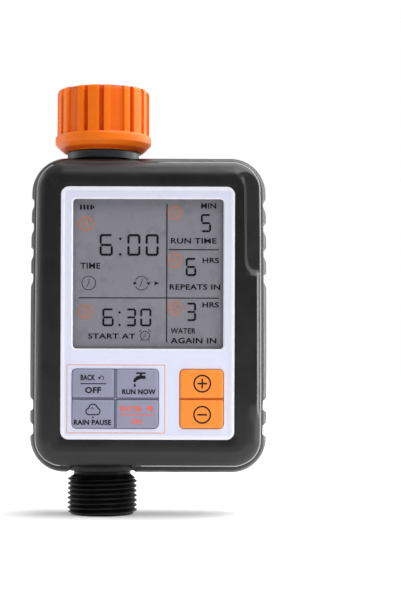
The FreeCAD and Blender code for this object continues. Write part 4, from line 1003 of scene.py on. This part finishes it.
def display_graphics():
    """Time, run time, interval and countdown fields, with the five numbered marks."""
    corner = (WINDOW_X[0], WINDOW_Z[1])
    ink = Print(GLASS_Y - 0.02, 0.05, corner, down=True)
    marks = Print(GLASS_Y - 0.02, 0.035, corner, down=True)

    ink.stroke(0.42, (34.3, 1.5), (34.3, 52.4))
    ink.stroke(0.36, (34.9, 18.3), (53.4, 18.3))
    ink.stroke(0.36, (2.0, 36.05), (53.4, 36.05))
    for u in (2.75, 4.0, 5.25, 6.5):
        ink.stroke(0.72, (u, 1.95), (u, 3.75))
    ink.polygon((7.05, 2.2), (7.35, 2.2), (7.35, 2.5), (7.75, 2.5), (7.75, 3.2), (7.35, 3.2), (7.35, 3.5),
                (7.05, 3.5))
    for numeral in DIGITS:
        ink.digit(*numeral)
    for u, v, r in COLONS:
        ink.dot((u, v), r)
    for text, left, right, top, bottom in WORDS:
        ink.words(text, ((left + right) / 2, (top + bottom) / 2), right - left, bottom - top, 0.024)

    ink.circle((5.7, 30.65), 2.5, 0.24)
    ink.stroke(0.22, (5.9, 29.0), (5.6, 30.8), (4.9, 32.0))
    for start, end in ((28, 158), (-152, -22)):
        ink.arc((25.1, 30.65), 2.5, start, end, 0.24)
    ink.stroke(0.22, (25.3, 29.1), (25.0, 30.8), (24.3, 32.0))
    for side in (-1, 1):
        u, v = 25.1 + 2.5 * side, 30.65
        ink.polygon((u - 0.75, v - 0.35 * side), (u + 0.75, v - 0.35 * side), (u, v + 0.75 * side))
    ink.polygon((29.8, 29.95), (31.6, 30.65), (29.8, 31.35))
    ink.circle((26.4, 49.9), 1.65, 0.24)
    ink.stroke(0.2, (26.5, 48.9), (26.35, 50.0), (25.8, 50.7))
    for side in (-1, 1):
        ink.stroke(0.3, (26.4 + side * 1.3, 47.7), (26.4 + side * 2.1, 48.5))
        ink.stroke(0.24, (26.4 + side * 1.2, 51.2), (26.4 + side * 1.7, 51.8))
    ink.finish("display_graphics", "housing", "segment_ink")

    for text, u, v in CIRCLED:
        marks.circle((u, v), 2.45, 0.62)
        marks.words(text, (u, v), 0.85 if text == "1" else 1.5, 2.7, 0.03)
    marks.finish("display_marks", "housing", "segment_orange")


# -------- keys
MENU_KEYS = ("key_back_off", "key_manual", "key_rain", "key_set")
ADJUST_KEYS = ("key_plus", "key_minus")
KEY_FLANGE = 0.25
PRINT_ROOM = 0.05                     # the caps leave this much of the CAD's height to their prints
PRINT_SUNK = 0.02


def key_cell(node):
    return [grow(span, -KEY_FLANGE) for span in spans(*node_box(node))]


def key_body(node):
    return node.replace("key_", "") + "_key"


def key_block(nodes):
    cells = [key_cell(node) for node in nodes]
    return [(min(cell[axis][0] for cell in cells), max(cell[axis][1] for cell in cells)) for axis in (0, 1)]


def key_cap(node, block_of, slot):
    """Rubber key with a soft crowned top; only the corners on the outside of its block are round."""
    low, high = node_box(node)
    xs, zs = key_cell(node)
    shared = zip(corner_points(xs, zs), corner_points(*key_block(block_of)))
    radii = [KEY_BLOCK_R if math.dist(own, outer) < 0.1 else 0.5 for own, outer in shared]
    face = low.y + PRINT_ROOM
    levels = [(face + 2.9, 0.0), (face + 0.85, 0.0), (face + 0.5, -0.06), (face + 0.26, -0.2),
              (face + 0.12, -0.42), (face + 0.05, -0.75), (face + 0.01, -1.3), (face, -2.2)]
    cap = plate(xs, zs, radii, levels, 8)
    flange = plate(grow(xs, KEY_FLANGE), grow(zs, KEY_FLANGE), 0.5, ((face + 2.9, 0.0), (face + 3.7, 0.0)), 4)
    centre = ((xs[0] + xs[1]) / 2, (zs[0] + zs[1]) / 2)
    plunger = rod("y", 2.0, (face + 3.7, high.y), centre, 32)
    obj = build(node + "_cap", *combine([cap, flange, plunger]))
    settle(obj, key_body(node), slot, [node], angle=50.0)
    return centre, face


def cloud():
    """Outline of three joined bumps."""
    bumps = ((1.3, 0.95, 1.25, -88, 75), (0.0, 2.0, 1.55, 20, 165), (-1.45, 0.85, 1.15, 105, 268))
    points = []
    for x, z, r, start, end in bumps:
        angles = [math.radians(mix(start, end, i / 10)) for i in range(11)]
        points += [(x + r * math.cos(angle), z + r * math.sin(angle)) for angle in angles]
    return points


# What is printed on each key: a Print method and its values, in millimetres from the key's centre.
KEY_PRINTS = {
    "key_back_off": (
        ("words", "BACK", (-1.9, 2.15), 5.4, 2.1), ("arc", (3.1, 2.0), 0.75, -60, 200, 0.24),
        ("polygon", (1.7, 2.2), (2.9, 2.2), (2.3, 1.4)), ("stroke", 0.36, (-4.6, -0.1), (4.8, -0.1)),
        ("words", "OFF", (0.0, -2.45), 5.9, 2.3)),
    "key_manual": (
        ("polygon", (-0.4, 4.1), (3.0, 4.1), (3.0, 3.5), (1.7, 3.5), (1.7, 2.9), (3.0, 2.9), (3.0, 1.7),
         (1.2, 1.7), (-0.3, 1.1), (-0.4, 0.55), (-1.5, 0.55), (-1.35, 1.5), (-0.5, 2.5), (0.5, 2.9),
         (0.9, 2.9), (0.9, 3.5), (-0.4, 3.5)),
        ("polygon", (-0.95, 0.2), (-0.5, -0.7), (-0.65, -1.15), (-0.95, -1.3), (-1.25, -1.15), (-1.4, -0.7)),
        ("words", "RUN NOW", (0.6, -3.0), 12.2, 1.95)),
    "key_rain": (
        ("loop", 0.42, *cloud()), ("stroke", 0.26, (-0.9, 1.9), (-0.3, 2.3), (0.3, 1.9)),
        ("polygon", (0.0, -0.7), (0.32, -1.3), (0.0, -1.6), (-0.32, -1.3)),
        ("words", "RAIN PAUSE", (-0.2, -3.1), 13.6, 1.95)),
    "key_set": (
        ("words", "ENTER", (-2.1, 1.95), 8.2, 1.7),
        ("polygon", (3.4, 2.9), (5.6, 2.9), (5.6, 1.7), (6.1, 0.9), (5.3, 0.9), (4.6, 1.8), (3.4, 1.8)),
        ("stroke", 0.36, (-6.3, -0.3), (6.0, -0.3)), ("words", "OK", (-0.1, -2.7), 4.4, 1.9)),
    "key_plus": (
        ("circle", (0.2, 0.05), 3.0, 0.56),
        ("polygon", (-1.55, -0.25), (-0.1, -0.25), (-0.1, -1.7), (0.5, -1.7), (0.5, -0.25), (1.95, -0.25),
         (1.95, 0.35), (0.5, 0.35), (0.5, 1.8), (-0.1, 1.8), (-0.1, 0.35), (-1.55, 0.35))),
    "key_minus": (("circle", (0.2, -0.2), 3.0, 0.56), ("stroke", 0.6, (-1.55, -0.2), (1.95, -0.2))),
}


def keys():
    for nodes, slot in ((MENU_KEYS, "menu_key_rubber"), (ADJUST_KEYS, "adjust_key_rubber")):
        for node in nodes:
            centre, face = key_cap(node, nodes, slot)
            printed = Print(face + PRINT_SUNK, 0.06, centre)
            for method, *values in KEY_PRINTS[node]:
                getattr(printed, method)(*values)
            printed.finish(node + "_print", key_body(node), "print_red" if node == "key_set" else "print_ink")


def panel_border():
    """Thin printed outline round the menu keys."""
    block_x, block_z = key_block(MENU_KEYS)
    printed = Print(PANEL_LO.y + 0.17, 0.04)
    xs, zs = (block_x[0] - 1.95, block_x[1] + 2.3), (block_z[0] - 1.75, block_z[1] + 1.55)
    corners = corner_points(xs, zs)
    for i, start in enumerate(corners):
        printed.stroke(0.3, start, corners[(i + 1) % 4])
    printed.finish("panel_border_print", "housing", "print_orange")


# -------- everything together
front_shell()
lip_highlight_bead()
rear_shell()
battery_door()
contact_springs()
inlet_nut()
outlet_spout()
face_panel()
lens_and_glass()
display_graphics()
keys()
panel_border()

for subpart in frame["record"]["subparts"]:
    obj = frame["nodes"][subpart["node"]]
    for place in obj.material_slots:
        place.material = MATERIALS[subpart["material_slot"]]

for node, low, high in (("battery_left", -0.0915, -0.0905), ("battery_right", -0.1150, -0.1160)):
    frame["nodes"][node].material_slots[0].material = cell_sleeve(node + "_sleeve", low, high)

# -------- floor, light, camera
floor_z = SPOUT_LO.z - 0.05
FLOOR_REACH = 6000
FLOOR_FRONT = -420                    # the sheet ends in front of the object, out of the camera's view
floor = build("floor", [(-FLOOR_REACH, FLOOR_FRONT, floor_z), (FLOOR_REACH, FLOOR_FRONT, floor_z),
                        (FLOOR_REACH, FLOOR_REACH, floor_z), (-FLOOR_REACH, FLOOR_REACH, floor_z)],
              [(0, 1, 2, 3)])
paper = moulded("floor_paper", srgb(248, 248, 249), 0.8, grain=900.0, bump=0.02, vary=0.004, wear=1.0,
                specular=0.1)
floor.data.materials.append(paper)
tree = Tree(paper)
# The sheet glows with painted light, faintly near the object, which lifts its shadows, and more with
# distance, so that it runs into the background without an edge.
tree.surface(Emission_Strength=tree.remap(tree.length(tree.place()), 0.1, 1.2, 0.16, 0.5),
             Emission_Color=grey(1.0))

world = bpy.data.worlds.new("studio")
bpy.context.scene.world = world
tree = Tree(world)
# The room is darker in front of the object than behind it; the camera itself sees plain white.
heading = tree.feed(tree.add("SeparateXYZ"), Vector=tree.add("TexCoord").outputs["Generated"]).outputs["Y"]
room = tree.ramp(tree.remap(heading, -1.0, 1.0, 0.0, 1.0), (0.0, (0.24, 0.24, 0.25, 1)),
                 (0.22, (0.36, 0.36, 0.37, 1)), (0.5, (0.85, 0.85, 0.86, 1)), (1.0, grey(1.0)))
background = tree.feed(tree.nodes["Background"], Color=room, Strength=0.62)
plain = tree.feed(tree.add("Background"), Color=grey(1.0), Strength=1.0)
chooser = tree.add("MixShader")
for socket, output in zip(chooser.inputs, (tree.add("LightPath").outputs["Is Camera Ray"],
                                           background.outputs["Background"], plain.outputs["Background"])):
    tree.links.new(output, socket)
tree.links.new(chooser.outputs["Shader"], tree.nodes["World Output"].inputs["Surface"])

CENTRE = Vector((MIDDLE_X, 0.0, (node_box("inlet_nut")[1].z + SPOUT_LO.z) / 2)) * MM


def place_light(name, light, place):
    obj = bpy.data.objects.new(name, light)
    obj.location = CENTRE + Vector(place)
    obj.rotation_euler = (-Vector(place)).to_track_quat("-Z", "Y").to_euler()
    bpy.context.scene.collection.objects.link(obj)


def place_softbox(name, place, size, power):
    light = bpy.data.lights.new(name, "AREA")
    light.shape = "RECTANGLE"
    light.size, light.size_y = size
    light.energy = power
    place_light(name, light, place)


sun = bpy.data.lights.new("key_light", "SUN")
sun.energy = 1.22
sun.angle = math.radians(35.0)
place_light("key_light", sun, (0.25, -0.5, 0.75))
for softbox in (("right_light", (0.62, -0.04, 0.08), (0.16, 0.8), 1.7),
                ("rim_light", (0.5, 0.36, 0.05), (0.2, 0.8), 2.5),
                ("left_light", (-0.55, 0.2, 0.05), (0.2, 0.8), 0.9),
                ("top_light", (0.22, 0.08, 0.55), (0.8, 0.6), 3.9)):
    place_softbox(*softbox)

CAMERA_ROLL = -0.2
camera_data = bpy.data.cameras.new("camera")
camera_data.sensor_fit = "AUTO"
camera_data.sensor_width = 36.0
camera_data.lens = 87.8
camera_data.shift_x = 0.0507
camera_data.shift_y = 0.1023
camera_data.clip_start = 0.02
camera_data.clip_end = 30.0
camera = bpy.data.objects.new("camera", camera_data)
camera.location = (0.0256, -0.557, -0.1025)
camera.rotation_euler = (math.radians(90.0), math.radians(CAMERA_ROLL), 0.0)
bpy.context.scene.collection.objects.link(camera)
bpy.context.scene.camera = camera
bpy.context.scene.view_settings.view_transform = "Standard"
